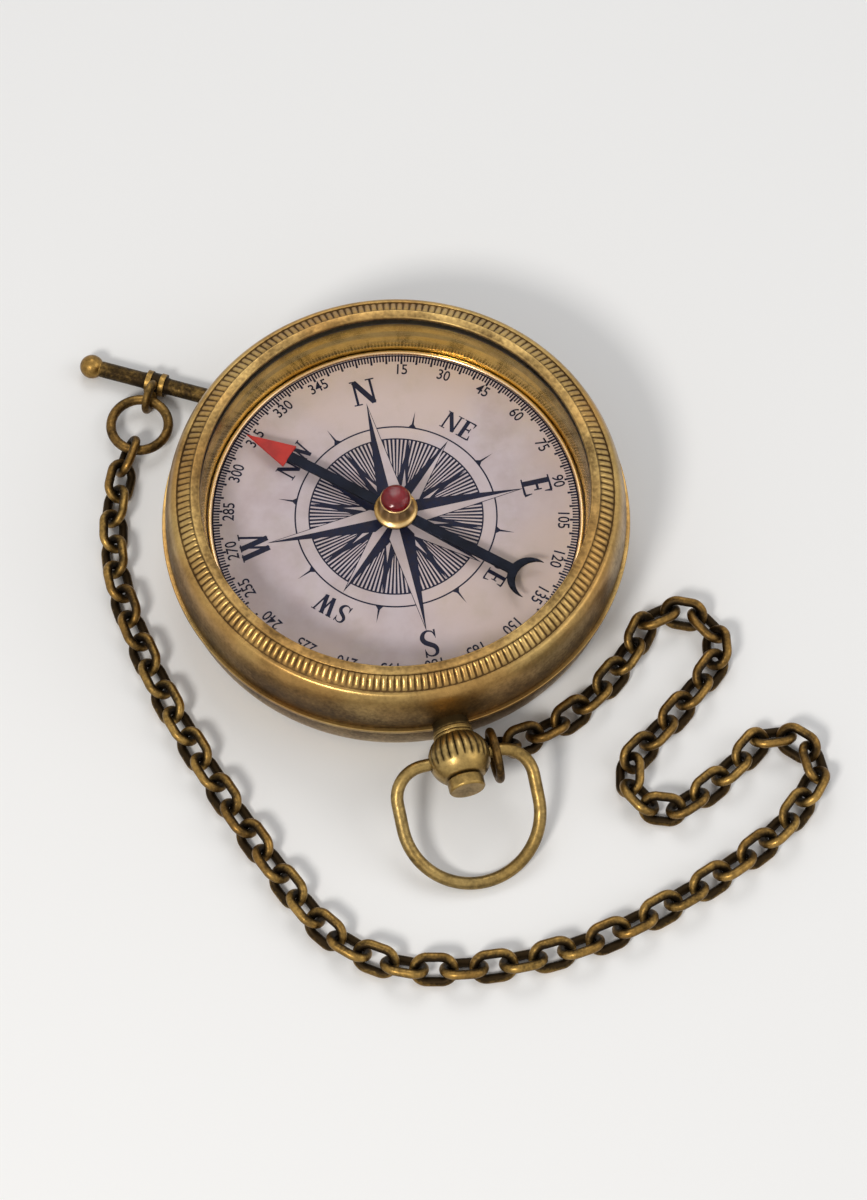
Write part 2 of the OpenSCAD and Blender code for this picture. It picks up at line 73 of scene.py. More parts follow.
class Body(Enum):
    """The CAD bodies that the pieces ride on."""

    CASE = "case"
    NEEDLE = "needle"
    BOW = "bow"


class Slot(Enum):
    """The record's material slot names that go with the pieces here."""

    CASE = "case_brass"
    BRIGHT = "bright_brass"
    PENDANT = "pendant_brass"
    CHAIN = "chain_brass"
    PAPER = "dial_paper"
    BLUED = "blued_steel"
    BEAD = "bead_red"


def linear(colour: Colour) -> Colour:
    """Turns a colour as seen on screen into scene-linear values."""
    return tuple(c / 12.92 if c <= 0.04045 else ((c + 0.055) / 1.055) ** 2.4 for c in colour)


def angles(start: float, end: float, steps: int) -> list[float]:
    """Angles in even steps from start to end, both included."""
    return [start + (end - start) * k / steps for k in range(steps + 1)]


def circle(steps: int) -> list[Point]:
    """Even points on the unit circle, from +X on."""
    return [(math.cos(a), math.sin(a)) for a in angles(0.0, FULL_TURN, steps)[:-1]]


class Graph:
    """Short calls for building a node tree, of a material, a shader group or Geometry Nodes."""

    def __init__(self, tree: bpy.types.NodeTree) -> None:
        """Keeps the tree that the nodes go into."""
        self.tree = tree

    @classmethod
    def group(cls, name: str, kind: str, inputs: dict[str, str], outputs: dict[str, str]) -> "Graph":
        """Makes an empty node group with named sockets.

        Args:
            name: The group's name.
            kind: "ShaderNodeTree" or "GeometryNodeTree".
            inputs: Kind of each input, by name.
            outputs: Kind of each output, by name.

        Returns:
            The group as a Graph.
        """
        tree = bpy.data.node_groups.new(name, kind)
        for way, sockets in (("INPUT", inputs), ("OUTPUT", outputs)):
            for label, socket in sockets.items():
                tree.interface.new_socket(name=label, in_out=way, socket_type=f"NodeSocket{socket}")
        return cls(tree)

    @classmethod
    def emptied(cls, owner: bpy.types.Material | bpy.types.World) -> "Graph":
        """Turns on the nodes of a material or world, and takes away the ones it came with.

        Args:
            owner: The material or world.

        Returns:
            Its nodes as a Graph.
        """
        owner.use_nodes = True
        owner.node_tree.nodes.clear()
        return cls(owner.node_tree)

    def node(self, kind: str, inputs: dict | None = None, **settings: object) -> bpy.types.Node:
        """Adds a node.

        Args:
            kind: Blender's name for the node type.
            inputs: Values or sockets for its inputs, by name or number.
            settings: The node's own properties.

        Returns:
            The node.
        """
        made = self.tree.nodes.new(kind)
        for name, value in settings.items():
            setattr(made, name, value)
        for key, value in (inputs or {}).items():
            self.put(made.inputs[key], value)
        return made

    def put(self, socket: Socket, value: object) -> None:
        """Links a socket to an input, or sets the input's value.

        Args:
            socket: The input.
            value: An output socket, or a plain value.
        """
        if isinstance(value, Socket):
            self.tree.links.new(value, socket)
        else:
            socket.default_value = value

    def math(self, operation: str, a: object, b: object = 0.0) -> Socket:
        """Adds a Math node.

        Args:
            operation: The node's operation.
            a: First value or socket.
            b: Second value or socket.

        Returns:
            The result's socket.
        """
        return self.node("ShaderNodeMath", {0: a, 1: b}, operation=operation).outputs[0]

    def total(self, *parts: tuple[object, object]) -> Socket:
        """Adds up values, each times its weight.

        Args:
            parts: Each value or socket with its weight; a weight of 1 adds it as it is.

        Returns:
            The sum's socket.
        """
        terms = [value if weight == 1 else self.math("MULTIPLY", value, weight) for value, weight in parts]
        result = terms[0]
        for term in terms[1:]:
            result = self.math("ADD", result, term)
        return result

    def span(
        self,
        value: object,
        low: float,
        high: float,
        to_low: float = 0.0,
        to_high: float = 1.0,
    ) -> Socket:
        """Maps a range smoothly onto another.

        Args:
            value: The value or socket to map.
            low: Where the range starts.
            high: Where the range ends.
            to_low: Result at the start.
            to_high: Result at the end.

        Returns:
            The result's socket.
        """
        inputs = {0: value, 1: low, 2: high, 3: to_low, 4: to_high}
        return self.node("ShaderNodeMapRange", inputs, interpolation_type="SMOOTHSTEP").outputs[0]

    def mix(self, share: object, a: Socket | Colour, b: Socket | Colour) -> Socket:
        """Mixes two colours.

        Args:
            share: Share of the second colour, a value or socket.
            a: First colour, as seen on screen, or its socket.
            b: Second colour, as seen on screen, or its socket.

        Returns:
            The mixed colour's socket.
        """
        a, b = ((*linear(c), 1.0) if isinstance(c, tuple) else c for c in (a, b))
        return self.node("ShaderNodeMix", {0: share, 6: a, 7: b}, data_type="RGBA").outputs[2]

    def tint(self, mask: Socket, share: float, base: Socket, colour: Colour) -> Socket:
        """Mixes a colour into a base where a mask says so.

        Args:
            mask: Where the colour shows, from 0 to 1.
            share: How much of it shows where the mask is 1.
            base: The base colour's socket.
            colour: The colour, as seen on screen.

        Returns:
            The mixed colour's socket.
        """
        return self.mix(self.math("MULTIPLY", mask, share), base, colour)

    def noise(self, vector: Socket, scale: float, detail: float = 3.0, rough: float = 0.55) -> Socket:
        """Adds a noise texture.

        Args:
            vector: Coordinates.
            scale: Features in a metre.
            detail: Octaves.
            rough: How strong the small octaves are.

        Returns:
            The socket with a value from 0 to 1.
        """
        inputs = {"Vector": vector, "Scale": scale, "Detail": detail, "Roughness": rough}
        return self.node("ShaderNodeTexNoise", inputs).outputs[0]

    def object_place(self) -> Socket:
        """Adds Object coordinates and returns their socket."""
        return self.node("ShaderNodeTexCoord").outputs["Object"]

    def surface(self, inputs: dict, relief: Socket, depth: float) -> Socket:
        """Adds a Principled shader with a relief on its normal.

        Args:
            inputs: Values or sockets for the shader's inputs, by name.
            relief: Height from 0 to 1.
            depth: Depth of the relief in metres.

        Returns:
            The shader's socket.
        """
        shader = self.node("ShaderNodeBsdfPrincipled", inputs)
        bump = self.node("ShaderNodeBump", {"Height": relief, "Distance": depth, "Strength": 1.0})
        self.put(shader.inputs["Normal"], bump.outputs[0])
        return shader.outputs[0]


class SharedEffects:
    """Shader groups that several finishes use."""

    @staticmethod
    @cache
    def patina() -> bpy.types.NodeTree:
        """Tarnish that gathers in sheltered places and wears off crests, in clouds and small spots, which
        also paints shade where the wear is lowered for it.

        Returns:
            The group.
        """
        floats = dict.fromkeys(("Wear", "Clouds", "Spots", "Tarnish"), "Float")
        outputs = dict.fromkeys(("Mask", "Fine", "Tone"), "Float")
        g = Graph.group("Patina", "ShaderNodeTree", {"Position": "Vector", **floats}, outputs)
        given = g.node("NodeGroupInput").outputs
        where = given["Position"]
        clouds = g.noise(where, given["Clouds"], detail=6.0, rough=0.62)
        spots = g.noise(where, given["Spots"], detail=4.0, rough=0.6)
        fine = g.noise(where, FINE_GRAIN, detail=2.0, rough=0.5)
        tone = g.noise(where, 95.0, detail=2.0, rough=0.5)
        mottle = g.total((clouds, 0.9), (spots, 0.6))
        sheltered_and_shaded = g.math("MULTIPLY", g.math("SUBTRACT", 1.0, given["Wear"]), 0.95)
        level = g.math("ADD", g.math("SUBTRACT", mottle, 0.75), g.math("ADD", sheltered_and_shaded, given["Tarnish"]))
        g.node("NodeGroupOutput", {"Mask": g.span(level, 0.0, 1.0), "Fine": fine, "Tone": tone})
        return g.tree

    @staticmethod
    @cache
    def turning() -> bpy.types.NodeTree:
        """Fine rings round the case axis, as a lathe tool leaves them.

        Returns:
            The group.
        """
        inputs = {"Position": "Vector", "Rings": "Float"}
        g = Graph.group("Turning", "ShaderNodeTree", inputs, {"Height": "Float"})
        given = g.node("NodeGroupInput").outputs
        x, y, z = g.node("ShaderNodeSeparateXYZ", {0: given["Position"]}).outputs
        squares = g.math("ADD", g.math("POWER", x, 2.0), g.math("POWER", y, 2.0))
        along = g.math("ADD", g.math("POWER", squares, 0.5), g.math("MULTIPLY", z, 0.7))
        inputs = {"W": along, "Scale": given["Rings"], "Detail": 2.0}
        rings = g.node("ShaderNodeTexNoise", inputs, noise_dimensions="1D")
        g.node("NodeGroupOutput", {"Height": rings.outputs[0]})
        return g.tree


class Finish:
    """A finish: a recipe for one material, built once."""

    name: str

    @cache
    def material(self) -> bpy.types.Material:
        """Builds the material the first time, and gives it again later.

        Returns:
            The material.
        """
        made = bpy.data.materials.new(self.name)
        g = Graph.emptied(made)
        g.node("ShaderNodeOutputMaterial", {"Surface": self.shader(g)})
        return made

    def shader(self, g: Graph) -> Socket:
        """Builds the nodes in the material and returns the shader."""
        raise NotImplementedError


@dataclass(frozen=True)
class BrassFinish(Finish):
    """Brass with patina: rubbed bright on crests and dark in sheltered places, with painted shade where the
    wear is lowered for it, and painted reflection bands where asked.
    """

    name: str
    bright: Colour
    warm: Colour
    dark: Colour
    polished: float
    dull: float
    tarnish: float
    clouds: float = 260.0
    spots: float = 2400.0
    rings: float = 0.0
    ring_scale: float = FINE_GRAIN
    grain: float = 0.3
    # Share and tone of painted reflection bands round the axis, greyish like the dial reflected in a polished
    # wall.
    streaks: float = 0.0
    streak_tone: Colour = (0.66, 0.63, 0.45)
    relief_depth: float = 0.000012
    worn_by_attribute: bool = True

    def shader(self, g: Graph) -> Socket:
        """Builds patina colour with its painted shade and painted reflection bands, roughness and relief on a
        metal shader.

        Args:
            g: The material's nodes.

        Returns:
            The shader's socket.
        """
        where = g.object_place()
        wear = 1.0
        if self.worn_by_attribute:
            wear = g.node("ShaderNodeAttribute", attribute_name="wear").outputs["Fac"]
        inputs = {"Position": where, "Wear": wear}
        inputs |= {"Clouds": self.clouds, "Spots": self.spots, "Tarnish": self.tarnish}
        patina = g.node("ShaderNodeGroup", inputs, node_tree=SharedEffects.patina()).outputs
        mask, fine = patina["Mask"], patina["Fine"]
        metal = g.mix(g.span(patina["Tone"], 0.35, 0.65), self.bright, self.warm)
        # Greyish bands round the axis in the base colour: painted reflection of the dial in the polished
        # wall.
        if self.streaks:
            level = {"Vector": where, "Scale": (0.05, 0.05, 1.0)}
            reflection_band = g.noise(g.node("ShaderNodeMapping", level).outputs[0], 700.0)
            metal = g.tint(g.span(reflection_band, 0.44, 0.58), self.streaks, metal, self.streak_tone)
        colour = g.mix(mask, metal, self.dark)
        rough = g.total((g.span(mask, 0.0, 1.0, self.polished, self.dull), 1), (fine, 0.08))
        relief = g.total((fine, self.grain), (mask, -0.4))
        if self.rings:
            inputs = {"Position": where, "Rings": self.ring_scale}
            turned = g.node("ShaderNodeGroup", inputs, node_tree=SharedEffects.turning()).outputs["Height"]
            relief = g.total((relief, 1), (turned, self.rings))
        inputs = {"Metallic": 1.0, "Base Color": colour, "Roughness": rough}
        return g.surface(inputs, relief, self.relief_depth)


@dataclass(frozen=True)
class StainedPlateFinish(Finish):
    """Yellow brass plate with heat-coloured stains, streaks and dark filled engraving."""

    name: str = "stained_plate_brass"
    gold: Colour = (0.78, 0.68, 0.42)
    straw: Colour = (0.68, 0.55, 0.31)
    brown: Colour = (0.53, 0.38, 0.22)
    violet: Colour = (0.40, 0.31, 0.33)
    blue: Colour = (0.34, 0.35, 0.40)
    filling: Colour = (0.22, 0.20, 0.19)
    streak_turn: float = 0.85
    streak_length: float = 3.2
    filling_from: float = 0.00003
    filling_full: float = 0.00009
    filling_fades: float = 0.0002
    filling_gone: float = 0.0003
    relief_depth: float = 0.000015

    def shader(self, g: Graph) -> Socket:
        """Builds the stains, the streaks and the filling, which lies deeper than the face.

        Args:
            g: The material's nodes.

        Returns:
            The shader's socket.
        """
        where = g.object_place()
        slant = {
            "Vector": where,
            "Rotation": (0.0, 0.0, self.streak_turn),
            "Scale": (1.0, self.streak_length, 1.0),
        }
        slanted = g.node("ShaderNodeMapping", slant, vector_type="TEXTURE").outputs[0]
        blots = g.noise(where, 80.0, detail=6.0, rough=0.62)
        streaks = g.noise(slanted, 230.0, detail=6.0, rough=0.62)
        veins = g.noise(slanted, 1100.0, detail=4.0, rough=0.6)
        fine = g.noise(where, FINE_GRAIN, detail=2.0)
        stain = g.total((blots, 0.75), (streaks, 0.25))
        base = g.mix(g.span(streaks, 0.42, 0.62), self.gold, self.straw)
        base = g.tint(g.span(veins, 0.50, 0.70), 0.35, base, self.brown)
        base = g.tint(g.span(stain, 0.52, 0.60), 0.6, base, self.brown)
        base = g.tint(g.span(stain, 0.57, 0.64), 0.75, base, self.violet)
        base = g.tint(g.span(stain, 0.63, 0.69), 0.7, base, self.blue)
        height = g.node("ShaderNodeSeparateXYZ", {0: where}).outputs[2]
        below = g.span(height, self.filling_from, self.filling_full)
        engraved = g.math("MULTIPLY", below, g.span(height, self.filling_gone, self.filling_fades))
        colour = g.mix(engraved, base, self.filling)
        rough = g.total((g.span(stain, 0.4, 0.7, 0.24, 0.42), 1), (engraved, 0.3), (fine, 0.08))
        metal = g.math("SUBTRACT", 1.0, g.math("MULTIPLY", engraved, 0.9))
        inputs = {"Metallic": metal, "Base Color": colour, "Roughness": rough}
        return g.surface(inputs, g.total((veins, 0.7), (fine, 0.4)), self.relief_depth)


@dataclass(frozen=True)
class PlainFinish(Finish):
    """Paper, ink, paint, enamel, rubber or plain steel: one colour with fine mottle."""

    name: str
    colour: Colour
    second: Colour
    rough: float
    mottle: float
    depth: float = 0.000006
    coat: float = 0.0
    metal: float = 0.0
    gloss: float = 0.5
    fading: Colour | None = None

    def shader(self, g: Graph) -> Socket:
        """Builds the mottled colour, roughness and relief.

        Args:
            g: The material's nodes.

        Returns:
            The shader's socket.
        """
        where = g.object_place()
        cloud = g.noise(where, self.mottle, detail=5.0, rough=0.6)
        fine = g.noise(where, self.mottle * 9.0, detail=3.0, rough=0.6)
        colour = g.mix(g.span(cloud, 0.35, 0.68), self.colour, self.second)
        if self.fading is not None:
            faded = g.span(g.noise(where, self.mottle * 0.22, detail=2.0, rough=0.5), 0.42, 0.66)
            colour = g.mix(faded, colour, self.fading)
        inputs = {
            "Base Color": colour,
            "Roughness": g.total((self.rough - 0.05, 1), (fine, 0.1)),
            "Metallic": self.metal,
            "Coat Weight": self.coat,
            "Coat Roughness": 0.08,
            "Specular IOR Level": self.gloss,
        }
        return g.surface(inputs, g.math("ADD", cloud, fine), self.depth)


@dataclass(frozen=True)
class GlassFinish(Finish):
    """Glass that lets the lamps through, and shines only where it is seen at a low angle."""

    name: str
    tint: Colour
    smear: Colour
    rough: float
    index: float
    shine_from: float = 0.15
    shine_full: float = 0.6

    def shader(self, g: Graph) -> Socket:
        """Builds glass with faint smears, clear to shadow and diffuse rays and from straight above.

        Args:
            g: The material's nodes.

        Returns:
            The shader's socket.
        """
        smeared = g.span(g.noise(g.object_place(), 160.0, detail=5.0, rough=0.7), 0.45, 0.7)
        colour = g.mix(smeared, self.tint, self.smear)
        inputs = {"Roughness": self.rough, "IOR": self.index, "Transmission Weight": 1.0}
        glass = g.node("ShaderNodeBsdfPrincipled", {"Base Color": colour, **inputs}).outputs[0]
        clear = g.node("ShaderNodeBsdfTransparent", {"Color": colour}).outputs[0]
        rays = g.node("ShaderNodeLightPath").outputs
        facing = g.node("ShaderNodeLayerWeight", {"Blend": 0.5}).outputs["Facing"]
        straight = g.span(facing, self.shine_from, self.shine_full, 1.0, 0.0)
        passing = g.math("MAXIMUM", rays["Is Shadow Ray"], rays["Is Diffuse Ray"])
        through = g.math("MAXIMUM", passing, straight)
        return g.node("ShaderNodeMixShader", {0: through, 1: glass, 2: clear}).outputs[0]


CASE_BRASS = BrassFinish(
    "antique_case_brass",
    bright=(0.73, 0.61, 0.38),
    warm=(0.67, 0.52, 0.30),
    dark=(0.26, 0.19, 0.11),
    polished=0.24,
    dull=0.46,
    tarnish=0.26,
    rings=0.25,
)
WALL_BRASS = BrassFinish(
    "polished_wall_brass",
    bright=(0.93, 0.83, 0.50),
    warm=(0.87, 0.75, 0.40),
    dark=(0.52, 0.42, 0.23),
    polished=0.15,
    dull=0.28,
    tarnish=0.12,
    clouds=420.0,
    rings=0.7,
    grain=0.1,
    # The streaks are painted reflection bands, greyish like the dial seen in the wall.
    streaks=0.75,
)
HUB_BRASS = BrassFinish(
    "turned_hub_brass",
    bright=(0.82, 0.70, 0.49),
    warm=(0.76, 0.63, 0.42),
    dark=(0.46, 0.36, 0.23),
    polished=0.3,
    dull=0.42,
    tarnish=0.06,
    clouds=700.0,
    rings=0.1,
    grain=0.1,
)
PENDANT_BRASS = BrassFinish(
    "antique_pendant_brass",
    bright=(0.74, 0.63, 0.40),
    warm=(0.66, 0.54, 0.31),
    dark=(0.25, 0.20, 0.12),
    polished=0.24,
    dull=0.5,
    tarnish=0.34,
    clouds=520.0,
)
CHAIN_BRASS = BrassFinish(
    "dark_chain_brass",
    bright=(0.74, 0.59, 0.32),
    warm=(0.62, 0.47, 0.24),
    dark=(0.17, 0.13, 0.08),
    polished=0.24,
    dull=0.48,
    tarnish=0.42,
    clouds=560.0,
    spots=3000.0,
)
HIDDEN_BRASS = BrassFinish(
    "plain_inner_brass",
    bright=(0.76, 0.62, 0.36),
    warm=(0.70, 0.53, 0.27),
    dark=(0.33, 0.25, 0.14),
    polished=0.3,
    dull=0.5,
    tarnish=0.3,
    worn_by_attribute=False,
)
FOOT_BRASS = BrassFinish(
    "bright_foot_ring",
    bright=(0.84, 0.72, 0.58),
    warm=(0.80, 0.66, 0.49),
    dark=(0.55, 0.43, 0.29),
    polished=0.16,
    dull=0.3,
    tarnish=0.1,
    worn_by_attribute=False,
)
PLATE_BRASS = StainedPlateFinish()
DIAL_PAPER = PlainFinish(
    "dial_card_paper",
    colour=(0.77, 0.72, 0.745),
    second=(0.73, 0.67, 0.69),
    rough=0.7,
    mottle=260.0,
    depth=0.000003,
    gloss=0.2,
    fading=(0.79, 0.72, 0.71),
)
DIAL_INK = PlainFinish(
    "dial_navy_ink",
    colour=(0.08, 0.10, 0.20),
    second=(0.12, 0.11, 0.17),
    rough=0.6,
    mottle=2600.0,
    depth=0.0000008,
    gloss=0.2,
)
BLUED_STEEL = PlainFinish(
    "blued_needle_steel",
    colour=(0.07, 0.08, 0.12),
    second=(0.05, 0.055, 0.085),
    rough=0.34,
    mottle=500.0,
    depth=0.0000006,
    metal=0.85,
    gloss=0.3,
)
POINT_RED = PlainFinish(
    "needle_point_red_paint",
    colour=(0.71, 0.14, 0.10),
    second=(0.60, 0.10, 0.08),
    rough=0.42,
    mottle=500.0,
    depth=0.000001,
    gloss=0.3,
)
BEAD_RED = PlainFinish(
    "hub_bead_red_enamel",
    colour=(0.50, 0.035, 0.10),
    second=(0.36, 0.02, 0.07),
    rough=0.2,
    mottle=500.0,
    depth=0.0000004,
    coat=0.25,
    gloss=0.3,
)
GROUND_STEEL = PlainFinish(
    "ground_pin_steel",
    colour=(0.70, 0.70, 0.72),
    second=(0.60, 0.60, 0.62),
    rough=0.3,
    mottle=3000.0,
    metal=1.0,
)
GASKET_RUBBER = PlainFinish(
    "dark_gasket_rubber",
    colour=(0.19, 0.16, 0.11),
    second=(0.15, 0.125, 0.085),
    rough=0.7,
    mottle=3000.0,
)
CRYSTAL_GLASS = GlassFinish(
    "clear_crystal_glass",
    tint=(1.0, 1.0, 1.0),
    smear=(0.985, 0.985, 0.97),
    rough=0.0,
    index=1.25,
)
JEWEL_GLASS = GlassFinish(
    "red_jewel_glass",
    tint=(0.85, 0.10, 0.14),
    smear=(0.75, 0.06, 0.10),
    rough=0.05,
    index=1.7,
)


@dataclass
class MeshDraft:
    """Points and faces in millimetres, with the wear of each point, on their way to a piece."""

    points: list[Place] = field(default_factory=list)
    faces: list[tuple[int, ...]] = field(default_factory=list)
    wear: list[float] = field(default_factory=list)

    def add(
        self,
        points: Iterable[Sequence[float]],
        faces: Iterable[Sequence[int]],
        wear: Sequence[float] | None = None,
    ) -> "MeshDraft":
        """Adds points and faces.

        Args:
            points: Points in millimetres.
            faces: Faces by number within these points.
            wear: Wear of each point; without it they are all rubbed bright.

        Returns:
            The draft.
        """
        base = len(self.points)
        self.points.extend(tuple(p) for p in points)
        self.faces.extend(tuple(base + i for i in f) for f in faces)
        self.wear.extend(wear or [1.0] * (len(self.points) - base))
        return self

    def slab(self, outline: Sequence[Point], low: float, high: float) -> "MeshDraft":
        """Adds a closed slab of an outline between two heights.

        Args:
            outline: The outline.
            low: Height of its underside.
            high: Height of its top.

        Returns:
            The draft.
        """
        n = len(outline)
        points = [(x, y, z) for z in (low, high) for x, y in outline]
        sides = [(i, (i + 1) % n, n + (i + 1) % n, n + i) for i in range(n)]
        return self.add(points, [tuple(reversed(range(n))), tuple(range(n, 2 * n)), *sides])

    def ribbon(self, stroke: Stroke, low: float, high: float) -> "MeshDraft":
        """Adds a closed flat stroke along a line.

        Args:
            stroke: The stroke's middle line, and its width at each point.
            low: Height of its underside.
            high: Height of its top.

        Returns:
            The draft.
        """
        line, widths = stroke
        n = len(line)
        left, right = [], []
        for i, (x, y) in enumerate(line):
            ax, ay = line[max(i - 1, 0)]
            bx, by = line[min(i + 1, n - 1)]
            length = math.hypot(bx - ax, by - ay)
            nx, ny = -(by - ay) / length * widths[i] / 2, (bx - ax) / length * widths[i] / 2
            left.append((x + nx, y + ny))
            right.append((x - nx, y - ny))
        points = [(x, y, z) for z in (low, high) for side in (left, right) for x, y in side]
        faces = [(0, 2 * n, 3 * n, n), (n - 1, 2 * n - 1, 4 * n - 1, 3 * n - 1)]
        for i in range(n - 1):
            j = i + 1
            faces += [(i, n + i, n + j, j), (2 * n + i, 2 * n + j, 3 * n + j, 3 * n + i)]
            faces += [(i, j, 2 * n + j, 2 * n + i), (n + i, 3 * n + i, 3 * n + j, n + j)]
        return self.add(points, faces)

    def rings(
        self,
        rows: Sequence[Sequence[Place]],
        wear: Sequence[float],
        poles: Sequence[tuple[float, float]] = (),
    ) -> "MeshDraft":
        """Adds rings of points, each joined to the next.

        Args:
            rows: The points of each ring.
            wear: Wear of these points, ring by ring.
            poles: Height and wear of the two points on the axis that close the ends. Without
                them, the last ring joins the first.

        Returns:
            The draft.
        """
        turns = len(rows[0])
        points = [point for row in rows for point in row]
        wear, faces = list(wear), []
        for i in range(len(rows) - 1 if poles else len(rows)):
            a, b = i * turns, (i + 1) % len(rows) * turns
            faces += [(a + k, a + (k + 1) % turns, b + (k + 1) % turns, b + k) for k in range(turns)]
        for (z, worn_and_shaded), start in zip(poles, (0, (len(rows) - 1) * turns)):
            points.append((0.0, 0.0, z))
            wear.append(worn_and_shaded)
            faces += [(len(points) - 1, start + k, start + (k + 1) % turns) for k in range(turns)]
        return self.add(points, faces, wear)

    def lathe(self, profile: Profile, turns: int, closed: bool = True) -> "MeshDraft":
        """Adds a surface turned round Z.

        Args:
            profile: Radius, height and wear of each point.
            turns: Steps round the axis.
            closed: Whether the profile's last point joins its first; otherwise both lie on the axis.

        Returns:
            The draft.
        """
        rows, poles = (profile, ()) if closed else (profile[1:-1], (profile[0][1:], profile[-1][1:]))
        ring = circle(turns)
        points = [[(radius * x, radius * y, z) for x, y in ring] for radius, z, _ in rows]
        return self.rings(points, [worn_and_shaded for _, _, worn_and_shaded in rows for _ in ring], poles)

    def moved(self, matrix: Matrix) -> "MeshDraft":
        """Returns a copy moved by a matrix in millimetres."""
        return MeshDraft([tuple(matrix @ Vector(p)) for p in self.points], list(self.faces), list(self.wear))

    def join(self, other: "MeshDraft") -> None:
        """Adds another draft to this one."""
        self.add(other.points, other.faces, other.wear)

    def piece(self, name: str, finish: Finish, smooth_deg: float = SMOOTH_DEG) -> bpy.types.Object:
        """Makes the piece in metres, with its place in its mesh.

        Args:
            name: The piece's name.
            finish: Its finish.
            smooth_deg: Edges sharper than this in degrees stay sharp.

        Returns:
            The object.
        """
        mesh = bpy.data.meshes.new(name)
        mesh.from_pydata([(x * MM, y * MM, z * MM) for x, y, z in self.points], [], self.faces)
        mesh.attributes.new("wear", "FLOAT", "POINT").data.foreach_set("value", self.wear)
        return show(mesh, name, finish, smooth_deg)


def linked(name: str, data: bpy.types.ID) -> bpy.types.Object:
    """Makes an object of some data and links it to the scene.

    Args:
        name: The object's name.
        data: Its mesh, light or camera.

    Returns:
        The object.
    """
    made = bpy.data.objects.new(name, data)
    bpy.context.scene.collection.objects.link(made)
    return made


def show(mesh: bpy.types.Mesh, name: str, finish: Finish, smooth_deg: float = SMOOTH_DEG) -> bpy.types.Object:
    """Turns a mesh's faces outwards and links it to the scene as a piece at the origin.

    Args:
        mesh: The mesh, in metres.
        name: The piece's name.
        finish: Its finish.
        smooth_deg: Edges sharper than this in degrees stay sharp.

    Returns:
        The object.
    """
    mesh.name = name
    shell = bmesh.new()
    shell.from_mesh(mesh)
    bmesh.ops.recalc_face_normals(shell, faces=shell.faces)
    shell.to_mesh(mesh)
    shell.free()
    mesh.shade_smooth()
    mesh.set_sharp_from_angle(angle=math.radians(smooth_deg))
    mesh.materials.clear()
    mesh.materials.append(finish.material())
    return linked(name, mesh)


def settle(piece: bpy.types.Object, body: Body, slot: Slot, *stands_for: str) -> None:
    """Ties a finished piece to its CAD body and hides the CAD nodes that it stands for.

    Args:
        piece: The piece.
        body: The body that it rides on.
        slot: Its slot; not used.
        stands_for: The CAD nodes that it is shown instead of.
    """
    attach(piece, body.value)
    if stands_for:
        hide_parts(*stands_for)
    LOG.info("%s: %d faces, rides on %s", piece.name, len(piece.data.polygons), body.value)


def dress(node: str, finish: Finish) -> None:
    """Gives a CAD node its finish.

    Args:
        node: The node's name.
        finish: The finish.
    """
    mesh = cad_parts[node].data
    mesh.materials.clear()
    mesh.materials.append(finish.material())
    LOG.info("%s: %s", node, finish.name)


def heights(node: str) -> Point:
    """Lowest and highest height of a CAD node at rest, in millimetres."""
    low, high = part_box(node)
    return low.z / MM, high.z / MM


def corners(node: str) -> tuple[Vector, Vector]:
    """Lowest and highest corner of a CAD node at rest, in millimetres."""
    low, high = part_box(node)
    return Vector(low) / MM, Vector(high) / MM


def soften(profile: Profile, radius: float, closed: bool = True) -> Profile:
    """Rounds the corners of a lathe profile, and holds the flats beside them straight.

    Args:
        profile: Radius, height and wear of each point.
        radius: Rounding in millimetres.
        closed: Whether the profile's last point joins its first.

    Returns:
        The rounded profile.
    """
    least_angle, least_side = math.radians(28), 1e-6
    side_share, hold_share, rubbed, steps = 0.4, 0.3, 0.15, 3
    n = len(profile)
    made = []
    for i, (r, z, wear) in enumerate(profile):
        if not closed and i in (0, n - 1):
            made.append((r, z, wear))
            continue
        here = Vector((r, z))
        into, out = here - Vector(profile[i - 1][:2]), Vector(profile[(i + 1) % n][:2]) - here
        if min(into.length, out.length) < least_side or into.angle(out) < least_angle:
            made.append((r, z, wear))
            continue
        d = min(radius, side_share * into.length, side_share * out.length)
        start, end = here - into.normalized() * d, here + out.normalized() * d
        made.append((*(start - into.normalized() * d * hold_share), wear))
        for k in range(steps + 1):
            t = k / steps
            p = start.lerp(here, t).lerp(here.lerp(end, t), t)
            made.append((*p, min(1.0, wear + rubbed)))
        made.append((*(end + out.normalized() * d * hold_share), wear))
    return made


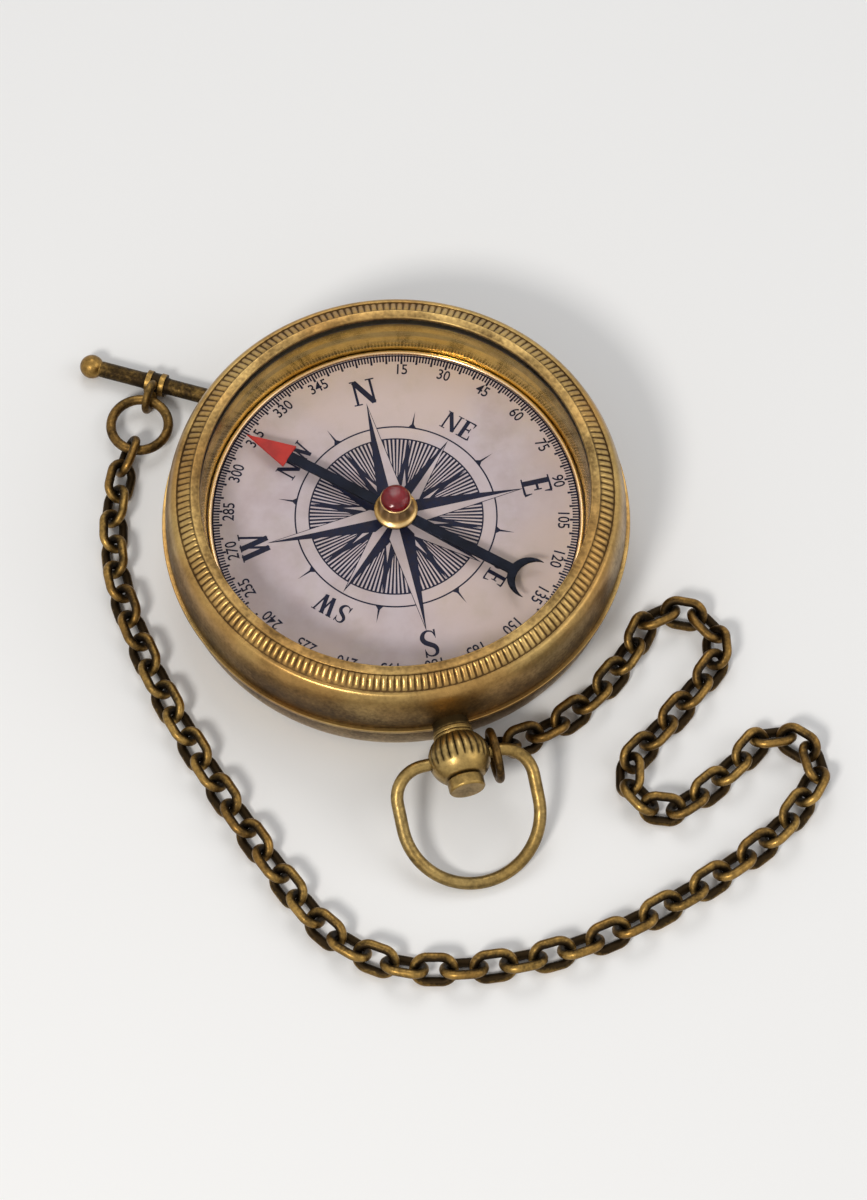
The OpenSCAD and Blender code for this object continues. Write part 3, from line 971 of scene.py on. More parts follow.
class Trees:
    """Geometry Nodes trees that make what repeats, and wires that follow a line."""

    @staticmethod
    def _begin(name: str, inputs: dict[str, str]) -> tuple[Graph, bpy.types.NodeOutputs]:
        """Starts a tree that takes geometry, its own inputs and a finish.

        Args:
            name: The tree's name.
            inputs: Kind of each of its own inputs, by name.

        Returns:
            The tree as a Graph, and the sockets of its inputs.
        """
        inputs = {"Geometry": "Geometry", **inputs, "Finish": "Material"}
        g = Graph.group(name, "GeometryNodeTree", inputs, {"Geometry": "Geometry"})
        return g, g.node("NodeGroupInput").outputs

    @staticmethod
    def _end(g: Graph, geometry: Socket, given: bpy.types.NodeOutputs) -> bpy.types.NodeTree:
        """Ends a tree: its geometry is made real and gets its material.

        Args:
            g: The tree.
            geometry: What it has made.
            given: The sockets of its inputs.

        Returns:
            The tree.
        """
        real = g.node("GeometryNodeRealizeInstances", {0: geometry}).outputs[0]
        done = g.node("GeometryNodeSetMaterial", {"Geometry": real, "Material": given["Finish"]}).outputs[0]
        g.node("NodeGroupOutput", {0: done})
        return g.tree

    @classmethod
    def _copy(
        cls,
        g: Graph,
        points: Socket,
        turn: Socket,
        given: bpy.types.NodeOutputs,
    ) -> bpy.types.NodeTree:
        """Ends a tree with copies of its piece on points.

        Args:
            g: The tree.
            points: The points.
            turn: The copies' turn, as Euler angles.
            given: The sockets of its inputs.

        Returns:
            The tree.
        """
        piece = g.node("GeometryNodeObjectInfo", {"Object": given["Piece"]}).outputs["Geometry"]
        turned = g.node("FunctionNodeEulerToRotation", {0: turn}).outputs[0]
        inputs = {"Points": points, "Instance": piece, "Rotation": turned}
        return cls._end(g, g.node("GeometryNodeInstanceOnPoints", inputs).outputs[0], given)

    @classmethod
    @cache
    def around(cls) -> bpy.types.NodeTree:
        """Repeats one piece round the case axis.

        Returns:
            The tree.
        """
        g, given = cls._begin("Repeat round the axis", {"Piece": "Object", "Count": "Int", "First": "Float"})
        points = g.node("GeometryNodePoints", {"Count": given["Count"]}).outputs[0]
        step = g.math("DIVIDE", FULL_TURN, given["Count"])
        index = g.node("GeometryNodeInputIndex").outputs[0]
        angle = g.math("ADD", g.math("MULTIPLY", index, step), given["First"])
        return cls._copy(g, points, g.node("ShaderNodeCombineXYZ", {2: angle}).outputs[0], given)

    @classmethod
    @cache
    def laid(cls) -> bpy.types.NodeTree:
        """Lays one piece at each point of a mesh, turned as the point's own attribute says.

        Returns:
            The tree.
        """
        g, given = cls._begin("Lay at points", {"Piece": "Object"})
        points = g.node("GeometryNodeMeshToPoints", {"Mesh": given["Geometry"]}).outputs[0]
        lie = g.node("GeometryNodeInputNamedAttribute", {"Name": "lie"}, data_type="FLOAT_VECTOR").outputs[0]
        return cls._copy(g, points, lie, given)

    @classmethod
    @cache
    def wire(cls) -> bpy.types.NodeTree:
        """Makes round wire along the edges of a mesh.

        Returns:
            The tree.
        """
        g, given = cls._begin("Wire along a line", {"Radius": "Float", "Sides": "Int"})
        line = g.node("GeometryNodeMeshToCurve", {"Mesh": given["Geometry"]}).outputs[0]
        inputs = {"Resolution": given["Sides"], "Radius": given["Radius"]}
        section = g.node("GeometryNodeCurvePrimitiveCircle", inputs).outputs[0]
        inputs = {"Curve": line, "Profile Curve": section, "Fill Caps": True}
        return cls._end(g, g.node("GeometryNodeCurveToMesh", inputs).outputs[0], given)

    @staticmethod
    def run(
        tree: bpy.types.NodeTree,
        seed: bpy.types.Mesh,
        finish: Finish,
        **values: object,
    ) -> bpy.types.Mesh:
        """Runs a tree on a mesh and returns the plain result.

        Args:
            tree: The tree.
            seed: The mesh that it starts from.
            finish: The finish of what it makes.
            values: Its other inputs, by name in lower case.

        Returns:
            The made mesh.
        """
        values["finish"] = finish.material()
        holder = linked("holder", seed)
        holder.modifiers.new("make", "NODES").node_group = tree
        for item in tree.interface.items_tree:
            if item.in_out == "INPUT" and item.name.lower() in values:
                holder.modifiers["make"][item.identifier] = values[item.name.lower()]
        made = plain_mesh(holder, preserve_all_data_layers=True)
        bpy.data.objects.remove(holder)
        return made


def plain_mesh(piece: bpy.types.Object, **options: bool) -> bpy.types.Mesh:
    """Returns a new mesh of a piece with its modifiers applied.

    Args:
        piece: The piece.
        options: Further options of new_from_object.

    Returns:
        The mesh.
    """
    bpy.context.view_layer.update()
    graph = bpy.context.evaluated_depsgraph_get()
    return bpy.data.meshes.new_from_object(piece.evaluated_get(graph), depsgraph=graph, **options)


def round_row(draft: MeshDraft, count: int, finish: Finish, first_deg: float = 0.0) -> bpy.types.Mesh:
    """Repeats a draft round the case axis with Geometry Nodes.

    Args:
        draft: The one that repeats, at the angle zero.
        count: How many there are.
        finish: Their finish.
        first_deg: Turn of the first one, in degrees.

    Returns:
        One mesh with all of them.
    """
    one = draft.piece("one", finish)
    values = {"piece": one, "count": count, "first": math.radians(first_deg)}
    made = Trees.run(Trees.around(), bpy.data.meshes.new("seed"), finish, **values)
    bpy.data.objects.remove(one)
    return made


def wire(
    name: str,
    line: Sequence[Sequence[float]],
    diameter: float,
    finish: Finish,
    closed: bool = True,
    sides: int = 16,
    wear: float = 0.75,
) -> bpy.types.Object:
    """Makes a wire piece along a line with Geometry Nodes.

    Args:
        name: The piece's name.
        line: Points in millimetres.
        diameter: The wire's diameter in millimetres.
        finish: Its finish.
        closed: Whether the line's last point joins its first.
        sides: Faces round the wire.
        wear: How far the patina is rubbed off.

    Returns:
        The piece.
    """
    n = len(line)
    seed = bpy.data.meshes.new("line")
    edges = [(i, (i + 1) % n) for i in range(n if closed else n - 1)]
    seed.from_pydata([tuple(c * MM for c in p) for p in line], edges, [])
    mesh = Trees.run(Trees.wire(), seed, finish, radius=diameter / 2 * MM, sides=sides)
    mesh.attributes.new("wear", "FLOAT", "POINT").data.foreach_set("value", [wear] * len(mesh.vertices))
    return show(mesh, name, finish, WIRE_SMOOTH_DEG)


def joined(
    name: str,
    finish: Finish,
    meshes: Iterable[bpy.types.Mesh],
    smooth_deg: float,
) -> bpy.types.Object:
    """Joins meshes into one piece.

    Args:
        name: The piece's name.
        finish: Its finish.
        meshes: The meshes, in metres.
        smooth_deg: Edges sharper than this in degrees stay sharp.

    Returns:
        The piece.
    """
    whole = bmesh.new()
    for mesh in meshes:
        whole.from_mesh(mesh)
    for face in whole.faces:
        face.material_index = 0
    result = bpy.data.meshes.new(name)
    whole.to_mesh(result)
    whole.free()
    return show(result, name, finish, smooth_deg)


@dataclass
class CaseShells:
    """The two knurled shells and the middle ring between them, in millimetres."""

    radius: float = 24.875
    height: float = 14.5
    inside: float = 21.7
    skirt: float = 23.25
    band_depth: float = 1.1
    front_band: Point = (21.8, 23.5)
    front_edge: float = 7.55
    front_foot: float = 10.55
    lip_in: float = 20.8
    lip_under: float = 14.0
    rear_band: Point = (21.35, 23.335)
    rear_edge: float = 6.95
    rear_foot: float = 3.95
    plate_hole: float = 20.03
    plate_bevel: float = 0.12
    plate_seat: float = 0.8
    ledge_in: float = 18.4
    ledge_top: float = 1.6
    sleeve_out: float = 23.2
    sleeve_low: float = 4.0
    sleeve_high: float = 10.5
    seam_radius: float = 25.3
    seam_low: float = 7.0
    seam_high: float = 7.5
    shelf_in: float = 20.2
    shelf_low: float = 6.2
    shelf_high: float = 7.0
    groove: float = 0.17
    ridges: int = 200
    ridge_rise: float = 0.18
    ridge_width: float = 0.64
    ridge_sink: float = 1.15
    ridge_power: int = 3
    ridge_end_power: int = 5
    ridge_foot_wear: float = 0.45
    front_crest_wear: float = 1.0
    rear_crest_wear: float = 0.82
    shell_rounding: float = 0.09
    ring_rounding: float = 0.08
    smooth_deg: float = 38.0
    turns: int = 320

    def bulge(self, start: float, end: float, top: float) -> Profile:
        """Quarter-oval from the seam to the knurled band, with its wear, which falls towards the seam as
        patina and partly as painted shade.

        Args:
            start: Height at the seam.
            end: Height at the knurled band.
            top: Radius at the knurled band.

        Returns:
            Profile points.
        """
        made, steps = [], 18
        for i, a in enumerate(angles(0.0, math.pi / 2, steps)):
            # Wear falls towards the seam: patina, and partly painted shade where the bulge turns under.
            worn_and_shaded = 0.35 + 0.6 * min(1.0, i / steps * 1.6)
            made.append((top + (self.radius - top) * math.cos(a), start + (end - start) * math.sin(a), worn_and_shaded))
        return made

    def ridge(self, outer: Point, inner: Point, crest: float) -> MeshDraft:
        """One ridge of a knurled band, with rounded ends.

        Args:
            outer: Radius and height of its outer end, just over the crest.
            inner: Radius and height of its inner end, just over the crest.
            crest: Wear of the crest.

        Returns:
            The ridge, on +X.
        """
        a, b = Vector(outer), Vector(inner)
        up = Vector((b.y - a.y, a.x - b.x)).normalized() * (1 if a.y > self.seam_low else -1)
        along, across = 6, 6
        points, wear, faces = [], [], []
        for i in range(along + 1):
            t = i / along
            full = 1.0 - abs(2 * t - 1) ** self.ridge_end_power
            middle = a.lerp(b, t)
            for k in range(across + 1):
                s = 2 * k / across - 1
                lift = (1 - abs(s) ** self.ridge_power) * full
                at = middle + up * (self.ridge_rise * (lift - self.ridge_sink))
                points.append((at.x, s * self.ridge_width / 2, at.y))
                wear.append(self.ridge_foot_wear + (crest - self.ridge_foot_wear) * lift**0.5)
        for i in range(along):
            for k in range(across):
                j = i * (across + 1) + k
                faces.append((j, j + 1, j + across + 2, j + across + 1))
        return MeshDraft().add(points, faces, wear)

    def shell(self, name: str, node: str, profile: Profile, ridge: MeshDraft) -> None:
        """Builds one shell: the turned body and its row of ridges, as one piece.

        Args:
            name: The piece's name.
            node: The CAD node that it stands for.
            profile: The turned body's profile.
            ridge: One of its ridges.
        """
        body = MeshDraft().lathe(soften(profile, self.shell_rounding), self.turns).piece("body", CASE_BRASS)
        row = round_row(ridge, self.ridges, CASE_BRASS)
        piece = joined(name, CASE_BRASS, (body.data, row), self.smooth_deg)
        bpy.data.objects.remove(body)
        settle(piece, Body.CASE, Slot.CASE, node)

    def bezel(self) -> None:
        """Builds the front shell with its lip over the crystal."""
        top, high = self.height, self.height - self.band_depth
        inner, outer = self.front_band
        profile = [
            (self.skirt, self.front_edge, 0.2),
            *self.bulge(self.front_edge, high, outer),
            (outer - 0.1, high + 0.02, 0.7),
            (outer - 0.14, high + 0.09 - self.groove, 0.36),
            (inner + 0.12, top - 0.19 - self.groove, 0.36),
            (inner + 0.03, top - 0.06, 0.5),
            (inner - 0.08, top, 0.75),
            (self.lip_in + 0.1, top, 0.6),
            (self.lip_in, top - 0.1, 0.7),
            (self.lip_in, self.lip_under, 0.4),
            (self.inside, self.lip_under, 0.3),
            (self.inside, self.front_foot, 0.3),
            (self.skirt, self.front_foot, 0.3),
        ]
        ridge = self.ridge((outer - 0.06, high + 0.03), (inner + 0.06, top - 0.04), self.front_crest_wear)
        self.shell("bezel", "front_bezel", profile, ridge)

    def rear_shell(self) -> None:
        """Builds the rear shell with the ledge behind its plate."""
        high = self.band_depth
        inner, outer = self.rear_band
        profile = [
            (self.skirt, self.rear_edge, 0.2),
            *self.bulge(self.rear_edge, high, outer),
            (outer - 0.1, high - 0.02, 0.7),
            (outer - 0.14, high - 0.09 + self.groove, 0.34),
            (inner + 0.14, 0.19 + self.groove, 0.34),
            (inner + 0.04, 0.08, 0.6),
            (inner - 0.08, 0.0, 1.0),
            (self.plate_hole + self.plate_bevel, 0.0, 0.8),
            (self.plate_hole, self.plate_bevel, 0.1),
            (self.plate_hole, self.plate_seat, 0.1),
            (self.ledge_in, self.plate_seat, 0.3),
            (self.ledge_in, self.ledge_top, 0.3),
            (self.inside, self.ledge_top, 0.3),
            (self.inside, self.rear_foot, 0.3),
            (self.skirt, self.rear_foot, 0.3),
        ]
        ridge = self.ridge((outer - 0.06, high - 0.03), (inner + 0.06, 0.05), self.rear_crest_wear)
        self.shell("back_shell", "rear_shell", profile, ridge)

    def middle_ring(self) -> None:
        """Builds the ring that both shells are pressed on, with its seam lip and the dial's shelf."""
        profile = [
            (self.inside, self.sleeve_low, 0.3),
            (self.sleeve_out, self.sleeve_low, 0.3),
            (self.sleeve_out, self.seam_low, 0.1),
            (self.seam_radius, self.seam_low, 0.9),
            (self.seam_radius, self.seam_high, 1.0),
            (self.sleeve_out, self.seam_high, 0.1),
            (self.sleeve_out, self.sleeve_high, 0.3),
            (self.inside, self.sleeve_high, 0.3),
            (self.inside, self.shelf_high, 0.3),
            (self.shelf_in, self.shelf_high, 0.3),
            (self.shelf_in, self.shelf_low, 0.3),
            (self.inside, self.shelf_low, 0.3),
        ]
        seam = MeshDraft().lathe(soften(profile, self.ring_rounding), self.turns)
        settle(seam.piece("seam_ring", CASE_BRASS), Body.CASE, Slot.CASE, "mid_case")

    def build(self) -> None:
        """Builds the bezel, the rear shell and the middle ring."""
        self.bezel()
        self.rear_shell()
        self.middle_ring()

    def dress(self) -> None:
        """Gives the back plate its finish."""
        dress("back_plate", PLATE_BRASS)


@dataclass
class Lettering:
    """Serif capitals built from strokes, one unit high, for the dial's directions."""

    thin: float = 0.09
    thick: float = 0.2
    serif: float = 0.05
    gap: float = 0.1
    layer: float = 0.0004

    def strokes(self, letter: str) -> tuple[float, list[Stroke]]:
        """Strokes of a letter.

        Args:
            letter: One of N, E, S and W.

        Returns:
            The letter's width, and its strokes.
        """
        a, b, s = self.thin, self.thick, self.serif
        foot, head = s / 2, 1 - s / 2
        if letter == "N":
            return 0.86, [
                ([(0.14, 0), (0.14, 1)], [a, a]),
                ([(0.74, 0), (0.74, 1)], [a, a]),
                ([(0.15, 0.97), (0.73, 0.03)], [b, b]),
                ([(0, foot), (0.3, foot)], [s, s]),
                ([(0, head), (0.2, head)], [s, s]),
                ([(0.58, head), (0.9, head)], [s, s]),
            ]
        if letter == "E":
            return 0.7, [
                ([(0.2, 0), (0.2, 1)], [b, b]),
                ([(0, foot), (0.62, foot)], [s, a]),
                ([(0, head), (0.6, head)], [s, a]),
                ([(0.2, 0.52), (0.5, 0.52)], [a, a]),
                ([(0.5, 0.38), (0.5, 0.66)], [s, s]),
                ([(0.66, 0.0), (0.63, 0.28)], [0.1, 0.03]),
                ([(0.62, 1.0), (0.6, 0.74)], [0.1, 0.03]),
            ]
        if letter == "W":
            return 1.1, [
                ([(0.14, 1), (0.38, 0)], [b, b]),
                ([(0.38, 0), (0.58, 0.95)], [a, a]),
                ([(0.52, 1), (0.76, 0)], [b, b]),
                ([(0.76, 0), (0.98, 1)], [a, a]),
                ([(0, head), (0.3, head)], [s, s]),
                ([(0.4, head), (0.68, head)], [s, s]),
                ([(0.86, head), (1.1, head)], [s, s]),
            ]
        bend = self.curved(
            [
                (0.49, 0.76, 0.03),
                (0.44, 0.91, 0.05),
                (0.3, 0.975, 0.06),
                (0.15, 0.92, 0.1),
                (0.1, 0.77, 0.14),
                (0.16, 0.63, 0.17),
                (0.3, 0.53, 0.18),
                (0.44, 0.43, 0.18),
                (0.51, 0.28, 0.17),
                (0.45, 0.11, 0.13),
                (0.3, 0.025, 0.07),
                (0.13, 0.08, 0.05),
                (0.07, 0.25, 0.03),
            ]
        )
        return 0.6, [
            ([(x, y) for x, y, _ in bend], [width for _, _, width in bend]),
            ([(0.5, 0.68), (0.51, 1.0)], [0.02, 0.07]),
            ([(0.06, 0.33), (0.05, 0.0)], [0.02, 0.07]),
        ]

    @staticmethod
    def curved(line: Sequence[Place], steps: int = 5) -> list[Place]:
        """Smooths a line of points.

        Args:
            line: Two coordinates and the width of each point.
            steps: Steps between two of them.

        Returns:
            The smoothed points.
        """
        made = []
        for i in range(len(line) - 1):
            p = [Vector(line[min(max(i + k, 0), len(line) - 1)]) for k in (-1, 0, 1, 2)]
            for k in range(steps):
                t = k / steps
                at = 2 * p[1] + (p[2] - p[0]) * t
                at += (2 * p[0] - 5 * p[1] + 4 * p[2] - p[3]) * t**2
                at += (3 * p[1] - p[0] - 3 * p[2] + p[3]) * t**3
                made.append(tuple(0.5 * at))
        return [*made, line[-1]]

    def word(
        self,
        word: str,
        height: float,
        radius: float,
        bearing: float,
        low: float,
        high: float,
    ) -> MeshDraft:
        """Sets a word on the dial, tops outwards.

        Each stroke lies a little higher than the one before, so that no two tops share a plane.

        Args:
            word: The letters.
            height: Their height in millimetres.
            radius: Distance of their middle from the dial's middle.
            bearing: Degrees clockwise from north.
            low: Height of the ink's underside.
            high: Height of the first stroke's top.

        Returns:
            The word.
        """
        flat, pen = MeshDraft(), 0.0
        for letter in word:
            width, strokes = self.strokes(letter)
            for n, (line, widths) in enumerate(strokes):
                inked = [((x + pen) * height, (y - 0.5) * height) for x, y in line]
                flat.ribbon((inked, [w * height for w in widths]), low, high + self.layer * n)
            pen += width + self.gap
        half = (pen - self.gap) * height / 2
        turn = Matrix.Rotation(-math.radians(bearing), 4, "Z")
        return flat.moved(turn @ Matrix.Translation((-half, radius, 0)))


@dataclass(frozen=True)
class RosePoints:
    """One layer of the rose: points round the dial, each half ink and half light, in millimetres."""

    count: int
    first_deg: float
    reach: float
    light_reach: float
    half: float
    waist: float
    rise: float
    inset: float = 0.08

    def whole(self) -> list[Point]:
        """Outline of a whole point."""
        return [(0, 0), (self.half, self.waist), (0, self.reach), (-self.half, self.waist)]

    def light_half(self) -> list[Point]:
        """Outline of a light half, with an edge of ink left round it.

        Returns:
            The outline.
        """
        return [
            (self.inset * 0.35, self.inset * 2.0),
            (self.half - self.inset * 1.25, self.waist),
            (self.inset * 0.3, self.light_reach - self.inset * 8.0),
        ]


@dataclass
class DialFace:
    """The printed card and all its ink, in millimetres."""

    ink: float = 0.012
    circles: tuple[Point, ...] = ((10.9, 0.17), (9.4, 0.16), (19.8, 0.16))
    circle_turns: int = 180
    hatches: int = 128
    hatch: Stroke = (((0, 2.2), (0, 9.4)), (0.06, 0.25))
    hatch_ink: float = 0.006
    hatch_first_deg: float = 1.25
    ticks: int = 360
    tick: Stroke = (((0, 19.08), (0, 19.9)), (0.19, 0.17))
    long_ticks: int = 72
    long_tick: Stroke = (((0, 18.78), (0, 19.9)), (0.24, 0.2))
    long_tick_ink: float = 0.014
    spikes: int = 8
    spike_first_deg: float = 22.5
    spike: tuple[Point, ...] = ((-0.42, 10.95), (-0.12, 11.35), (0, 12.95), (0.12, 11.35), (0.42, 10.95))
    number_step: int = 15
    number_radius: float = 18.05
    number_height: float = 1.3
    number_share: float = 0.73
    number_width: float = 0.86
    number_spacing: float = 0.98
    number_bold: float = 0.02
    number_middle: float = 0.008
    number_half_depth: float = 0.004
    letter_radius: float = 15.65
    letter_height: float = 3.1
    pair_radius: float = 12.95
    pair_height: float = 2.2
    light_rise: float = 0.003
    smooth_deg: float = 20.0
    rose: tuple[RosePoints, ...] = (
        RosePoints(count=8, first_deg=22.5, reach=9.3, light_reach=6.4, half=0.75, waist=2.9, rise=0.012),
        RosePoints(count=4, first_deg=45.0, reach=10.75, light_reach=10.75, half=1.2, waist=2.7, rise=0.018),
        RosePoints(count=4, first_deg=0.0, reach=14.2, light_reach=14.2, half=1.42, waist=2.6, rise=0.024),
    )

    def numbers(self, surface: float) -> bpy.types.Mesh:
        """Prints the degrees in even steps, with none at north, tops outwards.

        Args:
            surface: Height of the card's face.

        Returns:
            One mesh with all the digits.
        """
        place = Matrix.Translation((0, self.number_radius * MM, (surface + self.number_middle) * MM))
        squeeze = Matrix.Diagonal((self.number_width, 1, 1, 1))
        digits = bmesh.new()
        for degrees in range(self.number_step, 360, self.number_step):
            text = bpy.data.curves.new("digits", "FONT")
            text.body = str(degrees)
            text.size = self.number_height / self.number_share * MM
            text.space_character = self.number_spacing
            text.align_x, text.align_y = "CENTER", "CENTER"
            text.extrude = self.number_half_depth * MM
            text.offset = self.number_bold * MM
            text.resolution_u = 3
            holder = bpy.data.objects.new("digits", text)
            mesh = bpy.data.meshes.new_from_object(holder)
            mesh.transform(Matrix.Rotation(-math.radians(degrees), 4, "Z") @ place @ squeeze)
            digits.from_mesh(mesh)
            bpy.data.objects.remove(holder)
        made = bpy.data.meshes.new("digits")
        digits.to_mesh(made)
        digits.free()
        return made

    def marks(self, low: float) -> list[bpy.types.Mesh]:
        """Prints the hatching, the ticks and the spikes.

        Args:
            low: Height of the ink's underside.

        Returns:
            A mesh of each kind.
        """
        rows = (
            (MeshDraft().ribbon(self.hatch, low, low + self.hatch_ink), self.hatches, self.hatch_first_deg),
            (MeshDraft().ribbon(self.tick, low, low + self.ink), self.ticks, 0.0),
            (MeshDraft().ribbon(self.long_tick, low, low + self.long_tick_ink), self.long_ticks, 0.0),
            (MeshDraft().slab(self.spike, low, low + self.ink), self.spikes, self.spike_first_deg),
        )
        return [round_row(draft, count, DIAL_INK, first_deg) for draft, count, first_deg in rows]

    def rings(self, low: float) -> MeshDraft:
        """Prints the rings, on an underside at a height.

        Args:
            low: Height of the ink's underside.

        Returns:
            The rings.
        """
        rings, high = MeshDraft(), low + self.ink
        section = ((-1, low), (1, low), (1, high), (-1, high))
        for radius, width in self.circles:
            rings.lathe([(radius + side * width / 2, z, 1.0) for side, z in section], self.circle_turns)
        return rings

    def words(self, low: float) -> MeshDraft:
        """Prints the letters of the directions, on an underside at a height.

        Args:
            low: Height of the ink's underside.

        Returns:
            The letters.
        """
        words, letters = MeshDraft(), Lettering()
        rows = (
            (0, self.letter_height, self.letter_radius, ("N", "E", "S", "W")),
            (45, self.pair_height, self.pair_radius, ("NE", "SE", "SW", "NW")),
        )
        for first, height, radius, names in rows:
            for k, name in enumerate(names):
                words.join(letters.word(name, height, radius, first + 90 * k, low, low + self.ink))
        return words

    def build(self) -> None:
        """Builds the ink and the light halves of the rose."""
        low = heights("dial_card")[1]
        inks, lights = self.marks(low), []
        for layer in self.rose:
            ink = MeshDraft().slab(layer.whole(), low, low + layer.rise)
            light = MeshDraft().slab(layer.light_half(), low, low + layer.rise + self.light_rise)
            inks.append(round_row(ink, layer.count, DIAL_INK, layer.first_deg))
            lights.append(round_row(light, layer.count, DIAL_PAPER, layer.first_deg))
        plain = [draft.piece("plain", DIAL_INK) for draft in (self.rings(low), self.words(low))]
        meshes = [*inks, *(piece.data for piece in plain), self.numbers(low)]
        ink = joined("dial_ink", DIAL_INK, meshes, self.smooth_deg)
        for piece in plain:
            bpy.data.objects.remove(piece)
        settle(ink, Body.CASE, Slot.PAPER)
        light = joined("rose_light_halves", DIAL_PAPER, lights, self.smooth_deg)
        settle(light, Body.CASE, Slot.PAPER)

    def dress(self) -> None:
        """Gives the card and its plate their finishes."""
        dress("dial_card", DIAL_PAPER)
        dress("dial_plate", HIDDEN_BRASS)


@dataclass
class CrystalAndWall:
    """Crystal, gasket, the polished wall round the dial and the ring at its foot, in millimetres."""

    wall_in: float = 20.4
    wall_top: float = 20.9
    wall_out: float = 21.65
    wall_steps: int = 14
    wall_turns: int = 320
    hollow: float = 1.4
    rounding: float = 0.06
    foot_radius: float = 20.1
    foot_wire: float = 0.5
    foot_turns: int = 240
    foot_sides: int = 14
    foot_wear: float = 0.8

    def build(self) -> None:
        """Builds the wall, hollowed a little towards the crystal, and the foot ring."""
        low, high = heights("wall_ring")
        profile = [
            (self.wall_in, low, 0.9),
            (self.wall_out, low, 0.5),
            (self.wall_out, high, 0.5),
            (self.wall_top, high, 0.3),
        ]
        for i in range(1, self.wall_steps):
            t = 1 - i / self.wall_steps
            radius = self.wall_in + (self.wall_top - self.wall_in) * t**self.hollow
            profile.append((radius, low + (high - low) * t, min(0.95, 0.5 + 1.6 * (1 - t))))
        wall = MeshDraft().lathe(soften(profile, self.rounding), self.wall_turns)
        settle(wall.piece("inner_wall", WALL_BRASS), Body.CASE, Slot.BRIGHT, "wall_ring")
        middle = low + self.foot_wire / 2
        loop = [(self.foot_radius * x, self.foot_radius * y, middle) for x, y in circle(self.foot_turns)]
        options = {"sides": self.foot_sides, "wear": self.foot_wear}
        foot = wire("foot_ring_bright", loop, self.foot_wire, FOOT_BRASS, **options)
        settle(foot, Body.CASE, Slot.BRIGHT, "foot_ring")

    def dress(self) -> None:
        """Gives the crystal and its gasket their finishes."""
        dress("crystal", CRYSTAL_GLASS)
        dress("crystal_gasket", GASKET_RUBBER)


